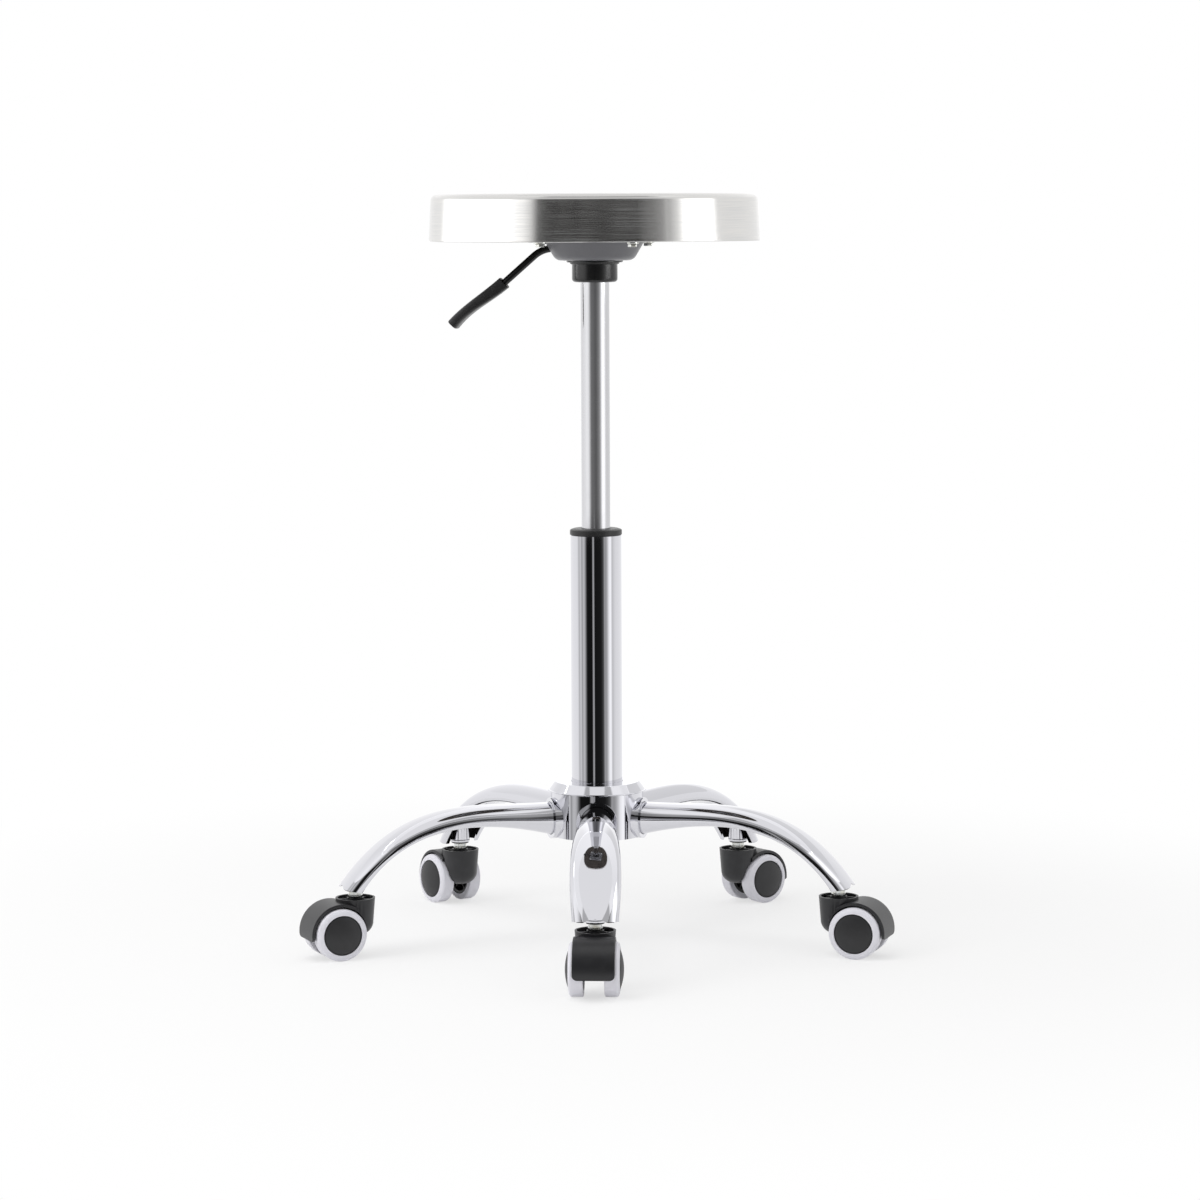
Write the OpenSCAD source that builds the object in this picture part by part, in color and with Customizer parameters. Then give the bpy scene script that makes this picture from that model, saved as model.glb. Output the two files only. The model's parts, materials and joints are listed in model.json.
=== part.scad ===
// Adjustable swivel stool: brushed steel pan seat on a gas-lift column, with a release lever
// and a five-leg chrome base on twin-wheel casters.
// Millimetres. The origin is on the floor under the column, +Z is up, the front leg points
// along -Y and the lever towards -X. The seat is drawn at its highest position.

/* [Seat] */
// Diameter of the seat pan at its hem
seat_d = 319; // [290:1:360]
// How far the skirt leans in from hem to top, on each side
seat_draft = 2; // [0.5:0.5:4]
// Height of the seat pan
seat_h = 45; // [38:1:60]
// Sheet thickness of the seat pan
pan_wall = 1; // [0.8:0.1:1.5]
// Radius of the pan's top edge
pan_edge_r = 6; // [3:0.5:10]
// Width of the hem folded in under the core
hem_w = 8; // [5:0.5:12]

/* [Mounting plate] */
// Width of the square mounting plate
plate_w = 112; // [104:1:130]
// Sheet thickness of the plate and its dish
plate_t = 2; // [1.5:0.1:2.5]
// Corner radius of the plate
plate_corner_r = 12; // [6:1:20]
// Distance between neighbouring bolts
bolt_pitch = 89; // [84:0.5:90]
// Radius of the bolt shank
bolt_r = 3; // [2.5:0.1:3.5]
// Length of the bolt shank
bolt_l = 14; // [11:0.5:18]
// Radius of the dish where it leaves the plate
dish_r = 47.5; // [45:0.5:50]
// Depth of the dish below the plate's underside
dish_depth = 17.5; // [16:0.5:20]
// Slope of the dish's wall
dish_slope = 60; // [50:1:70]
// Radius between the dish's wall and floor
dish_edge_r = 9; // [6:0.5:10]
// How far the seat, the plate and the lever are turned about the column
seat_turn = -10; // [-180:1:180]

/* [Taper socket] */
// Radius of the socket's cup
socket_r = 22; // [20:0.5:24]
// Height of the cup under the flange
socket_h = 19; // [16:0.5:26]
// Radius of the thin flange
flange_r = 27.2; // [25:0.1:30]
// Thickness of the flange
flange_t = 1.8; // [1.2:0.1:2.5]
// How far the socket's neck rises into the dish
neck_h = 5; // [4:0.5:6]

/* [Lever] */
// Radius of the lever rod
lever_r = 3.5; // [3:0.1:4]
// Distance of the rod's centre below the core
lever_drop = 8; // [7.5:0.1:8.5]
// Distance of the pivot from the column's axis
pivot_x = 30; // [28:0.5:31]
// Distance of the start of the bend from the column's axis
bend_x = 40.5; // [39:0.5:44]
// Centre-line radius of the bend
bend_r = 28.5; // [20:0.5:40]
// How steeply the lever slopes down
lever_slope = 41; // [30:0.5:50]
// Length of bare rod between the bend and the grip
arm_l = 39; // [25:1:60]
// Length of the grip
grip_l = 70; // [60:1:90]
// Width of the grip's paddle
grip_w = 25; // [18:1:32]
// Travel of the release pin
release_travel = 3.3; // [2:0.1:3.5]

/* [Gas lift] */
// Height adjustment
stroke = 220; // [120:5:220]
// Radius of the pressure tube
tube_r = 14; // [13.5:0.1:14.5]
// Wall of the pressure tube
tube_wall = 1.5; // [1:0.1:2]
// Bare tube left between the bush and the socket at the lowest seat
low_gap = 17.5; // [8:0.5:60]
// Height of the rubber bump stop under the tube
bump_h = 8.9; // [6:0.1:14]
// How much the radius shrinks along the tube's top taper
top_taper = 0.7; // [0.4:0.1:1]
// Radius of the piston rod
rod_r = 5; // [4.5:0.1:5.5]
// Radius of the rod's neck in the bearing and the foot
rod_neck_r = 4; // [3.4:0.1:4.2]
// Radius of the release pin
release_r = 3; // [2.5:0.1:3.5]

/* [Column] */
// Radius of the column
column_r = 25; // [24:0.5:26]
// Wall of the column
column_wall = 2; // [1.5:0.1:2.5]
// Length of the column
column_l = 294; // [290:1:320]
// How much the radius shrinks along the column's foot taper
foot_taper = 0.8; // [0.4:0.1:1.2]
// Thickness of the column's foot plate
foot_t = 4; // [3:0.5:6]
// Length of the guide bush inside the column
bush_l = 45; // [30:1:46]
// Height of the bush's ring above the column
bush_ring_h = 6; // [4:0.5:8]
// Diameter of the bearing balls
ball_d = 3; // [2.5:0.5:3.5]
// Number of bearing balls
ball_count = 12; // [8:1:14]

/* [Base] */
// Height of the legs' root axis above the floor
leg_z = 125; // [118:1:130]
// Radius of the hub tube
hub_r = 31.5; // [30:0.5:33]
// Height of the hub tube
hub_h = 49.4; // [46:0.2:56]
// Radius of the can round the hub tube, under the collar
hub_can_r = 45; // [42:0.5:46]
// Radius of the hub's welded rings
ring_r = 19.8; // [19.5:0.1:21.5]
// Distance from the column's axis to the face of the welded rings
ring_reach = 48; // [46:0.5:52]
// Radius of the collar's flat top
collar_top_r = 41; // [38:0.5:44]
// Radius of the collar's rim
collar_rim_r = 48; // [46:0.5:50]
// Height of the collar
collar_h = 9; // [7:0.5:10]
// Sheet thickness of the collar
collar_t = 1.5; // [1:0.1:2]
// Distance from the column's axis to the caster stems
stem_circle_r = 243.5; // [220:0.5:270]
// Width and height of a leg at its root
leg_root_d = 31.6; // [28:0.2:32]
// Width of a leg at its tip
leg_tip_w = 43.5; // [36:0.5:46]
// Sheet thickness of a leg
leg_wall = 1.8; // [1.2:0.1:2.2]
// How far a leg's widest place sinks below its middle, as a share of half its height
leg_sag = 0.42; // [0:0.02:0.46]
// Height of the leg's outer tip edge above the floor
leg_tip_z = 67; // [65.5:0.5:72]

/* [Casters] */
// Radius of the wheels over the tread
wheel_r = 25; // [24:0.5:26]
// Width of a wheel's tread
tread_w = 14; // [12:0.5:16]
// Inner radius of the tread
tread_in_r = 19.25; // [18.5:0.05:19.75]
// Free width between the two wheels of a caster
wheel_gap = 19.3; // [18:0.1:22]
// How far a wheel's cap bulges past the tread
cap_bulge = 3.3; // [2:0.1:4]
// Radius of the axle
axle_r = 3; // [2.5:0.1:3.5]
// Distance from the stem to the axle
trail = 21; // [19:0.5:23]
// Outer radius of the hood about the axle
hood_r = 29.5; // [29:0.1:31]
// Wall of the hood
hood_wall = 2.8; // [2:0.1:3]
// Width of the hood
hood_w = 39; // [38.6:0.1:42]
// Height of the hood's rear edge above the floor
hood_z = 20; // [18:0.5:26]
// Radius of the housing's tower
tower_r = 19; // [18:0.1:19.2]
// Height of the tower's rim above the floor
tower_z = 57; // [56.5:0.1:59]
// How far the tower's side leans in from rim to foot
tower_draft = 1.8; // [0.5:0.1:2.5]
// Height of the tower's rounded foot above the floor
tower_foot_z = 21; // [19:0.5:23]
// Radius of the caster stems
stem_r = 5.5; // [4.5:0.1:6]
// Radius of the stem's flange
stem_flange_r = 7; // [6.8:0.1:8.2]
// Outer radius of the sockets in the leg tips
stem_socket_r = 9.8; // [9:0.1:10.5]
// Distance from the tower's rim up to the stem socket
stem_gap = 6.2; // [5:0.1:8]

/* [Fits] */
// Radial clearance of a running fit
run = 0.08; // [0.05:0.01:0.1]
// Radial clearance of a fixed fit
fit = 0.05; // [0.02:0.01:0.08]
// Clearance between faces that pass each other
gap = 0.3; // [0.2:0.05:0.4]

/* [Hidden] */
$fn = 72;
PLACES = ["front", "right", "rear_right", "rear_left", "left"];
SEAT_NODES = ["seat_pan", "seat_core", "insert_nuts", "mounting_plate", "mount_bolts",
    "taper_socket", "lever_pivot", "lever_rod", "lever_grip", "release_pin"];
LIFT_NODES = ["pressure_tube", "rod_guide", "piston", "piston_rod", "bump_stop",
    "bearing_upper_race", "bearing_cage", "bearing_lower_race", "rod_clip",
    "column_tube", "column_bush"];
BASE_NODES = ["hub_collar", "hub", "stem_sockets", "caster_stems"];
LEG_NODES = [for (p = PLACES) str(p, "_leg")];
CASTER_NODES = [for (p = PLACES, piece = ["housing", "axle", "left_core", "left_tread",
    "right_core", "right_tread"]) str(p, "_caster_", piece)];

// Directions of the legs about the column, and how far each caster has swivelled from its leg
leg_angles = [-90, -18, 54, 126, 198];
caster_turns = [-2, -1, -15, -2, 6];

// Finishes
BRUSHED = "#b9b9b6";
CHROME = "#d9dbe0";
ZINC = "#c3c6c4";
STEEL = "#8d9096";
BLACK = "#1f1f21";
DARK = "#4b4b50";
WHITE = "#e9e8ef";
BOARD = "#2b2724";

// Heights from the floor up: hub, column, gas lift, socket, plate, seat
hub_z = leg_z - 18;
hub_top = hub_z + hub_h;
foot_z = hub_z - 2.4;
column_top = foot_z + column_l;
bush_top = column_top + bush_ring_h;
socket_z = bush_top + low_gap + stroke;
flange_z = socket_z + socket_h;
dish_z = flange_z + flange_t;
plate_z = dish_z + dish_depth;
core_z = plate_z + plate_t;
pan_z = core_z - pan_wall;
pan_top = pan_z + seat_h;
lever_z = core_z - lever_drop;
lip_t = 1.2;

// The release pin meets the lever, and stands above the tube by its travel and a little more
pin_spare = 1.4;
pin_top = lever_z - lever_r - gap;
tube_top = pin_top - release_travel - pin_spare;

// Bearing, stacked on the column's foot plate
race_t = 2;
lower_race_z = foot_z + foot_t;
cage_z = lower_race_z + race_t;
upper_race_z = cage_z + ball_d + 2 * fit;
rod_collar_z = upper_race_z + race_t;
rod_collar_t = 3;
race_r = 15;
ball_circle_r = 10.5;
bump_z = rod_collar_z + rod_collar_t;
bump_gap = 1;

// At the lowest seat the tube stops just above the bump stop. What the column is longer than
// the bearing, the bump stop and the stroke holds the tube at the highest seat.
tube_z = bump_z + bump_h + bump_gap + stroke;

// Piston and rod guide, stacked on the tube's rolled lip
guide_h = 18;
piston_h = 10;
piston_z = tube_z + lip_t + guide_h + 2;
bore_top = socket_z - 4;

// Rolling a profile's corner or a revolve's shoulder: points of an arc about c
function arc(c, r, from, to, steps = 6) =
    [for (i = [0:steps]) let (a = from + (to - from) * i / steps) c + r * [cos(a), sin(a)]];
function bezier(p, t) = pow(1 - t, 3) * p[0] + 3 * t * pow(1 - t, 2) * p[1]
    + 3 * t * t * (1 - t) * p[2] + pow(t, 3) * p[3];
function curve(p, steps = 10) = [for (i = [0:steps]) bezier(p, i / steps)];
function mix(a, b, t) = a + (b - a) * t;

// Turns what belongs to the seat's plate and lever to where they stand
module seat_frame() {
    rotate([0, 0, seat_turn]) children();
}

module tube(r, bore, h) {
    difference() {
        cylinder(r = r, h = h);
        translate([0, 0, -1]) cylinder(r = bore, h = h + 2);
    }
}

// ---- Seat ----

// Half-section of the seat's outline, inset from the pan's outside
function pan_outline(inset, low) = let (
    r = seat_d / 2 - inset, top_r = r - seat_draft, edge = pan_edge_r - inset, h = seat_h - inset
) concat([[r, low]], arc([top_r - edge, h - edge], edge, 0, 90, 8), [[0, h]]);

module seat_pan() {
    hem = seat_d / 2;
    inner = pan_outline(pan_wall, pan_wall);
    color(BRUSHED) translate([0, 0, pan_z]) rotate_extrude($fn = 144) polygon(concat(
        [[hem - hem_w, 0], [hem - pan_wall, 0]],
        pan_outline(0, pan_wall),
        [for (i = [len(inner) - 1:-1:0]) inner[i]],
        [[hem - hem_w, pan_wall]]));
}

// The bolts' places, on a square about the column
module at_bolts() {
    for (x = [-1, 1], y = [-1, 1]) translate([x, y, 0] * bolt_pitch / 2) children();
}

insert_r = bolt_r + 2;
insert_h = 12;
head_t = 3;
head_flange_t = 1.3;

module seat_core() {
    skin = pan_wall + gap;
    color(BOARD) difference() {
        translate([0, 0, pan_z]) rotate_extrude($fn = 144)
            polygon(concat([[0, pan_wall]], pan_outline(skin, pan_wall)));
        seat_frame() at_bolts() translate([0, 0, core_z - 1])
            cylinder(r = insert_r + fit, h = insert_h + gap + 2);
    }
}

module insert_nuts() {
    color(ZINC) seat_frame() at_bolts() translate([0, 0, core_z + 0.1])
        tube(insert_r, bolt_r + fit, insert_h);
}

module mount_bolts() {
    color(ZINC) seat_frame() at_bolts() translate([0, 0, plate_z]) {
        cylinder(r = bolt_r, h = min(bolt_l, insert_h + plate_t));
        translate([0, 0, -head_flange_t]) cylinder(r = bolt_r * 2.1, h = head_flange_t);
        translate([0, 0, -head_flange_t - head_t]) cylinder(r = bolt_r * 1.55, h = head_t, $fn = 6);
    }
}

// ---- Mounting plate with its dish ----

neck_r = tube_r + 3.5;
ear_t = 2;
boss_l = 8;
boss_r = lever_r + 1.2;
pin_r = 2;

module rounded_square(w, r) {
    square([w - 2 * r, w], center = true);
    square([w, w - 2 * r], center = true);
    for (x = [-1, 1], y = [-1, 1]) translate([x, y] * (w / 2 - r)) circle(r = r);
}

// Outline of the dish's wall from floor to rim, inset from its outside
function dish_wall(inset) = let (
    e = dish_edge_r - inset,
    c = dish_r - (dish_depth - dish_edge_r * (1 - cos(dish_slope))) / tan(dish_slope)
        - dish_edge_r * sin(dish_slope)
) concat(arc([c, dish_edge_r], e, -90, dish_slope - 90),
    [[dish_r - inset / sin(dish_slope), dish_depth]]);

module at_pivot() {
    translate([-pivot_x, 0, lever_z]) rotate([90, 0, 0]) children();
}

module mounting_plate() {
    inner = dish_wall(plate_t);
    ear_w = 2 * (pin_r + 3);
    ear_y = boss_l / 2 + gap;
    color(DARK) seat_frame() difference() {
        union() {
            translate([0, 0, plate_z]) linear_extrude(plate_t) difference() {
                rounded_square(plate_w, plate_corner_r);
                circle(r = dish_r - plate_t);
            }
            translate([0, 0, dish_z]) rotate_extrude() polygon(concat(
                [[neck_r + fit, 0]], dish_wall(0), [[dish_r, dish_depth + plate_t / 2]],
                [[inner[len(inner) - 1].x, dish_depth + plate_t / 2]],
                [for (i = [len(inner) - 1:-1:0]) inner[i]], [[neck_r + fit, plate_t]]));
            for (side = [-1, 1]) translate([0, side * (ear_y + ear_t / 2), 0]) {
                translate([-pivot_x - ear_w / 2, -ear_t / 2, dish_z + plate_t / 2])
                    cube([ear_w, ear_t, lever_z - dish_z - plate_t / 2]);
                at_pivot() cylinder(r = ear_w / 2, h = ear_t, center = true);
            }
        }
        at_bolts() translate([0, 0, plate_z - 1]) cylinder(r = bolt_r + gap, h = plate_t + 2);
        at_pivot() cylinder(r = pin_r + fit, h = 4 * boss_l, center = true);
        translate([-dish_r - 2, -lever_r - 1, lever_z - lever_r - 1])
            cube([dish_r - pivot_x, 2 * lever_r + 2, plate_z - lever_z + lever_r + 1]);
    }
}

module taper_socket() {
    edge = 3.5;
    bore = tube_r + fit;
    color(BLACK) rotate_extrude() polygon(concat(
        [[bore, socket_z]],
        arc([socket_r - edge, socket_z + edge], edge, -90, 0),
        [[socket_r, flange_z], [flange_r, flange_z], [flange_r, dish_z], [neck_r, dish_z],
         [neck_r, dish_z + neck_h], [bore - top_taper, dish_z + neck_h],
         [bore - top_taper, min(tube_top, dish_z + neck_h)]]));
}

// ---- Lever ----

module lever_pivot() {
    color(ZINC) seat_frame() at_pivot()
        cylinder(r = pin_r, h = boss_l + 2 * (gap + ear_t) + 1, center = true);
}

// The straight outer arm's own frame: z runs down the arm, x is square to it and points up
module along_arm() {
    translate([-bend_x - bend_r * sin(lever_slope), 0, lever_z - bend_r * (1 - cos(lever_slope))])
        rotate([0, -90 - lever_slope, 0]) children();
}

grip_bore_l = 30;
lever_tip = 5;

module lever_rod() {
    color(BLACK) seat_frame() difference() {
        union() {
            translate([lever_tip, 0, lever_z]) rotate([0, -90, 0])
                cylinder(r = lever_r, h = bend_x + lever_tip);
            at_pivot() cylinder(r = boss_r, h = boss_l, center = true);
            translate([-bend_x, 0, lever_z - bend_r]) rotate([90, 0, 0]) rotate([0, 0, 90])
                rotate_extrude(angle = lever_slope) translate([bend_r, 0]) circle(r = lever_r);
            along_arm() translate([0, 0, -1])
                cylinder(r = lever_r - fit, h = arm_l + grip_bore_l + 1);
        }
        at_pivot() cylinder(r = pin_r + run, h = 2 * boss_l, center = true);
    }
}

module lever_grip() {
    sleeve = lever_r + 2.8;
    end_r = 5.2;
    mid = [1.6, grip_l - end_r + 1.8];
    top = [[sleeve, 0], [sleeve, grip_l * 0.31], [sleeve + 4, grip_l * 0.64],
        mid + end_r * [cos(11), -sin(11)]];
    low = [[-sleeve, 0], [-sleeve + 0.8, grip_l * 0.37], [1.5, grip_l * 0.6],
        mid - end_r * [cos(11), -sin(11)]];
    edge = [[sleeve + 0.2, 0], [sleeve + 0.2, grip_l * 0.35], [grip_w / 2 + 1, grip_l * 0.4],
        [grip_w / 2, grip_l * 0.8]];
    low_curve = curve(low);
    edge_curve = curve(edge);
    round_r = grip_l * 0.2;
    color(BLACK) seat_frame() along_arm() translate([0, 0, arm_l]) difference() {
        intersection() {
            rotate([90, 0, 0]) linear_extrude(grip_w * 2, center = true) polygon(concat(
                curve(top), arc(mid, end_r, 0, 160, 8),
                [for (i = [len(low_curve) - 1:-1:0]) low_curve[i]]));
            rotate([0, -90, 0]) linear_extrude(grip_w * 2, center = true) polygon(concat(
                [for (p = edge_curve) [p.y, p.x]],
                [for (a = [80:-20:-80])
                    [grip_l * 0.8 + round_r * 1.1 * cos(a), grip_w / 2 * sin(a)]],
                [for (i = [len(edge_curve) - 1:-1:0]) [edge_curve[i].y, -edge_curve[i].x]]));
        }
        translate([0, 0, -1]) cylinder(r = lever_r + fit, h = grip_bore_l + gap + 1);
    }
}

module release_pin() {
    color(STEEL) translate([0, 0, bore_top + 1])
        cylinder(r = release_r, h = pin_top - bore_top - 1);
}

// ---- Gas lift ----

module pressure_tube() {
    bore = tube_r - tube_wall;
    lip = bore - 3;
    color(STEEL) difference() {
        rotate_extrude() polygon([
            [lip, tube_z], [tube_r, tube_z], [tube_r, socket_z], [tube_r - top_taper, tube_top],
            [release_r + run, tube_top], [release_r + run, bore_top], [bore, bore_top],
            [bore, tube_z + lip_t], [lip, tube_z + lip_t]]);
    }
}

module rod_guide() {
    color(BLACK) translate([0, 0, tube_z + lip_t])
        tube(tube_r - tube_wall - fit, rod_r + run, guide_h);
}

module piston() {
    r = tube_r - tube_wall - run;
    groove = 1.2;
    color(STEEL) translate([0, 0, piston_z]) rotate_extrude() polygon([
        [rod_neck_r + fit, 0], [r, 0], [r, piston_h * 0.35], [r - groove, piston_h * 0.35],
        [r - groove, piston_h * 0.65], [r, piston_h * 0.65], [r, piston_h],
        [rod_neck_r + fit, piston_h]]);
}

clip_t = 1.2;
clip_z = foot_z - gap - clip_t;

module piston_rod() {
    groove_r = rod_neck_r - 0.6;
    color(CHROME) rotate_extrude() polygon([
        [0, clip_z - 4], [rod_neck_r, clip_z - 4], [rod_neck_r, clip_z - fit],
        [groove_r, clip_z - fit], [groove_r, clip_z + clip_t + fit],
        [rod_neck_r, clip_z + clip_t + fit], [rod_neck_r, rod_collar_z],
        [rod_r + 3, rod_collar_z], [rod_r + 3, bump_z], [rod_r, bump_z], [rod_r, piston_z],
        [rod_neck_r, piston_z], [rod_neck_r, piston_z + piston_h + 1],
        [0, piston_z + piston_h + 1]]);
}

module bump_stop() {
    r = tube_r - tube_wall - 1;
    color(BLACK) translate([0, 0, bump_z + 0.1]) rotate_extrude() polygon([
        [rod_r + fit, 0], [r, 0], [r, bump_h * 0.3], [r - 1.5, bump_h * 0.5], [r, bump_h * 0.7],
        [r, bump_h - 0.1], [rod_r + fit, bump_h - 0.1]]);
}

module bearing_upper_race() {
    color(STEEL) translate([0, 0, upper_race_z]) tube(race_r, rod_neck_r + fit, race_t - fit);
}

module bearing_lower_race() {
    color(STEEL) translate([0, 0, lower_race_z]) tube(race_r, rod_neck_r + gap, race_t);
}

module bearing_cage() {
    cage_t = ball_d / 2;
    color("#b99b52") translate([0, 0, cage_z + ball_d / 2 + fit]) difference() {
        translate([0, 0, -cage_t / 2]) tube(race_r - 1, rod_neck_r + 2, cage_t);
        for (i = [1:ball_count]) rotate([0, 0, 360 * i / ball_count])
            translate([ball_circle_r, 0, -cage_t]) cylinder(r = ball_d / 2 + fit, h = 2 * cage_t);
    }
    color(CHROME) for (i = [1:ball_count]) rotate([0, 0, 360 * i / ball_count])
        translate([ball_circle_r, 0, cage_z + ball_d / 2 + fit]) sphere(d = ball_d);
}

module rod_clip() {
    color(ZINC) translate([0, 0, clip_z]) difference() {
        tube(rod_neck_r + 4, rod_neck_r - 0.6 + fit, clip_t);
        translate([0, -rod_neck_r + 1, -1]) cube([rod_neck_r + 6, 2 * rod_neck_r - 2, clip_t + 2]);
    }
}

module column_tube() {
    low_r = column_r - foot_taper;
    color(CHROME) rotate_extrude() polygon([
        [rod_neck_r + run, foot_z], [low_r, foot_z], [column_r, hub_top],
        [column_r, column_top], [column_r - column_wall, column_top],
        [column_r - column_wall, hub_top], [low_r - column_wall, foot_z + foot_t],
        [rod_neck_r + run, foot_z + foot_t]]);
}

module column_bush() {
    ring_r = column_r + 0.2;
    chamfer = [3, 1.6];
    color(BLACK) rotate_extrude() polygon([
        [tube_r + run, column_top - bush_l], [column_r - column_wall - fit, column_top - bush_l],
        [column_r - column_wall - fit, column_top], [ring_r, column_top],
        [ring_r, bush_top - chamfer.y], [ring_r - chamfer.x, bush_top],
        [tube_r + run, bush_top]]);
}

// ---- Base ----

leg_root_r = hub_r + 2.5;

module hub() {
    low_r = column_r - foot_taper + fit;
    ring_bore = leg_root_d / 2 + gap;
    color(CHROME) difference() {
        union() {
            translate([0, 0, hub_z]) cylinder(r = hub_r, h = hub_h);
            translate([0, 0, hub_z]) cylinder(r = hub_can_r, h = hub_h + collar_t - collar_h);
            for (a = leg_angles) rotate([0, 0, a]) translate([0, 0, leg_z]) rotate([0, 90, 0])
                cylinder(r = ring_r, h = ring_reach);
        }
        rotate_extrude() polygon([
            [0, foot_z - 4], [low_r, foot_z - 4], [low_r, foot_z], [column_r + fit, hub_top],
            [column_r + fit, hub_top + 4], [0, hub_top + 4]]);
        for (a = leg_angles) rotate([0, 0, a]) translate([leg_root_r - 0.5, 0, leg_z])
            rotate([0, 90, 0]) cylinder(r = ring_bore, h = ring_reach);
    }
}

module hub_collar() {
    z = hub_top + collar_t + 0.1;
    bead = 1;
    color(CHROME) rotate_extrude() polygon([
        [column_r + gap, z - collar_t], [collar_top_r - 0.6, z - collar_t],
        [collar_rim_r - collar_t - bead, z - collar_h + bead],
        [collar_rim_r - collar_t - bead, z - collar_h], [collar_rim_r, z - collar_h],
        [collar_rim_r, z - collar_h + bead], [collar_rim_r - bead, z - collar_h + bead],
        [collar_top_r, z], [column_r + gap, z]]);
}

// A leg is a thin shell lofted between a crown line and a belly line. Its section starts round
// in the hub's ring, then widens, squares up and gets a round back over a flat belly, towards
// the tip, which turns down.
leg_steps = 17;
leg_sides = 28;
tip_over = 18.5;
tip_r = stem_circle_r + tip_over;
leg_crown = [
    [ring_reach, leg_z + leg_root_d / 2], [ring_reach + 72, leg_z + 14],
    [tip_r - 66, leg_z + 33.5], [tip_r, leg_tip_z]];
leg_belly = [
    [ring_reach, leg_z - leg_root_d / 2], [ring_reach + 67, leg_z + 1],
    [tip_r - 67, leg_z + 10], [tip_r - 22, leg_tip_z - 3]];
leg_widths = [leg_root_d, leg_root_d, leg_root_d + 26, leg_tip_w];

function superellipse(w, h, n, a) = [
    w * sign(cos(a)) * pow(abs(cos(a)), 2 / n), h * sign(sin(a)) * pow(abs(sin(a)), 2 / n)];

// One ring of the loft at t along the leg, inset from its outside, moved by shift towards the hub
function leg_ring(t, inset, shift = 0) = let (
    top = bezier(leg_crown, t), low = bezier(leg_belly, t), mid = (top + low) / 2,
    up = (top - low) / norm(top - low), h = norm(top - low) / 2 - inset,
    w = bezier(leg_widths, t) / 2 - inset, n = mix(2, 2.8, t), sag = leg_sag * (1 - pow(1 - t, 3))
) [for (k = [0:leg_sides - 1]) let (
    q = superellipse(w, h, n, 360 * k / leg_sides), y = q.y - sag * (h - q.y * q.y / h)
) [mid.x + y * up.x - shift, q.x, mid.y + y * up.y]];

module leg_shell() {
    root = ring_reach - leg_root_r;
    rings = leg_steps + 2;
    points = [for (inset = [0, leg_wall]) each concat(leg_ring(0, inset, root),
        [for (i = [0:leg_steps]) each leg_ring(i / leg_steps, inset)])];
    function at(skin, i, k) = (skin * rings + i) * leg_sides + k % leg_sides;
    skins = [for (i = [0:rings - 2], k = [0:leg_sides - 1]) each [
        [at(0, i, k), at(0, i, k + 1), at(0, i + 1, k + 1), at(0, i + 1, k)],
        [at(1, i, k), at(1, i + 1, k), at(1, i + 1, k + 1), at(1, i, k + 1)]]];
    ends = [for (k = [0:leg_sides - 1]) each [
        [at(0, 0, k), at(1, 0, k), at(1, 0, k + 1), at(0, 0, k + 1)],
        [at(0, rings - 1, k), at(0, rings - 1, k + 1), at(1, rings - 1, k + 1),
            at(1, rings - 1, k)]]];
    polyhedron(points, concat(skins, ends), convexity = 6);
}

// The opening under a leg's tip, which leaves room for the stem socket
module tip_opening() {
    width = leg_tip_w * 0.72;
    depth = leg_wall + 3;
    roof = [for (t = [0.8:0.05:1]) let (p = bezier(leg_belly, t)) [p.x + depth * 0.7, p.y + depth]];
    rotate([90, 0, 0]) linear_extrude(width, center = true) polygon(concat(
        roof, [[tip_r - 10, leg_tip_z - 15], [roof[0].x, leg_tip_z - 15]]));
}

module leg(angle) {
    notch_w = 19;
    notch_h = 6;
    notch_r = (notch_w * notch_w / 4 + notch_h * notch_h) / (2 * notch_h);
    color(CHROME) rotate([0, 0, angle]) difference() {
        leg_shell();
        tip_opening();
        translate([tip_r - 12, 0, leg_tip_z - 1 + notch_h - notch_r]) rotate([0, 90, 0])
            cylinder(r = notch_r, h = 24);
    }
}

// Height of a leg's crown line at a distance r from the column's axis
crown_points = [for (t = [0:0.02:1]) let (p = bezier(leg_crown, t)) [p.x, p.y]];
function crown_z(r) = lookup(r, crown_points);

// The stem sockets end on a slant under the crown, and the stems end level, inside them
stem_socket_z = tower_z + stem_gap;
slant_near = stem_circle_r - stem_socket_r;
slant_far = stem_circle_r + stem_socket_r;
slant = atan2(crown_z(slant_near) - crown_z(slant_far), slant_far - slant_near);
slant_drop = (leg_wall + 2 * gap) / cos(slant);
stem_top = crown_z(slant_near) - slant_drop - (stem_circle_r + stem_r - slant_near) * tan(slant);

module stem_sockets() {
    color(CHROME) for (a = leg_angles) rotate([0, 0, a]) difference() {
        translate([stem_circle_r, 0, stem_socket_z])
            cylinder(r = stem_socket_r, h = leg_z - stem_socket_z);
        translate([stem_circle_r, 0, stem_socket_z - 1])
            cylinder(r = stem_r + fit, h = leg_z - stem_socket_z);
        translate([slant_near, -20, crown_z(slant_near) - slant_drop]) rotate([0, slant, 0])
            translate([-30, 0, 0]) cube([90, 40, 60]);
    }
}

stem_foot = tower_foot_z + 14;

module caster_stems() {
    color(ZINC) for (a = leg_angles) rotate([0, 0, a]) translate([stem_circle_r, 0, 0])
        rotate_extrude() polygon([
            [0, stem_foot], [stem_r, stem_foot], [stem_r, tower_z + gap],
            [stem_flange_r, tower_z + gap], [stem_flange_r, tower_z + stem_gap / 2],
            [stem_r + 0.8, tower_z + stem_gap / 2], [stem_r + 0.8, stem_socket_z - 0.1],
            [stem_r, stem_socket_z - 0.1], [stem_r, stem_top], [0, stem_top]]);
}

// ---- Casters, each drawn with its stem on the Z axis and its wheels trailing along +X ----

wheel_space_r = hood_r - hood_wall;
cheek = wheel_gap / 2 - gap;
tower_edge_r = 13;
rib_t = 1.6;

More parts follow.
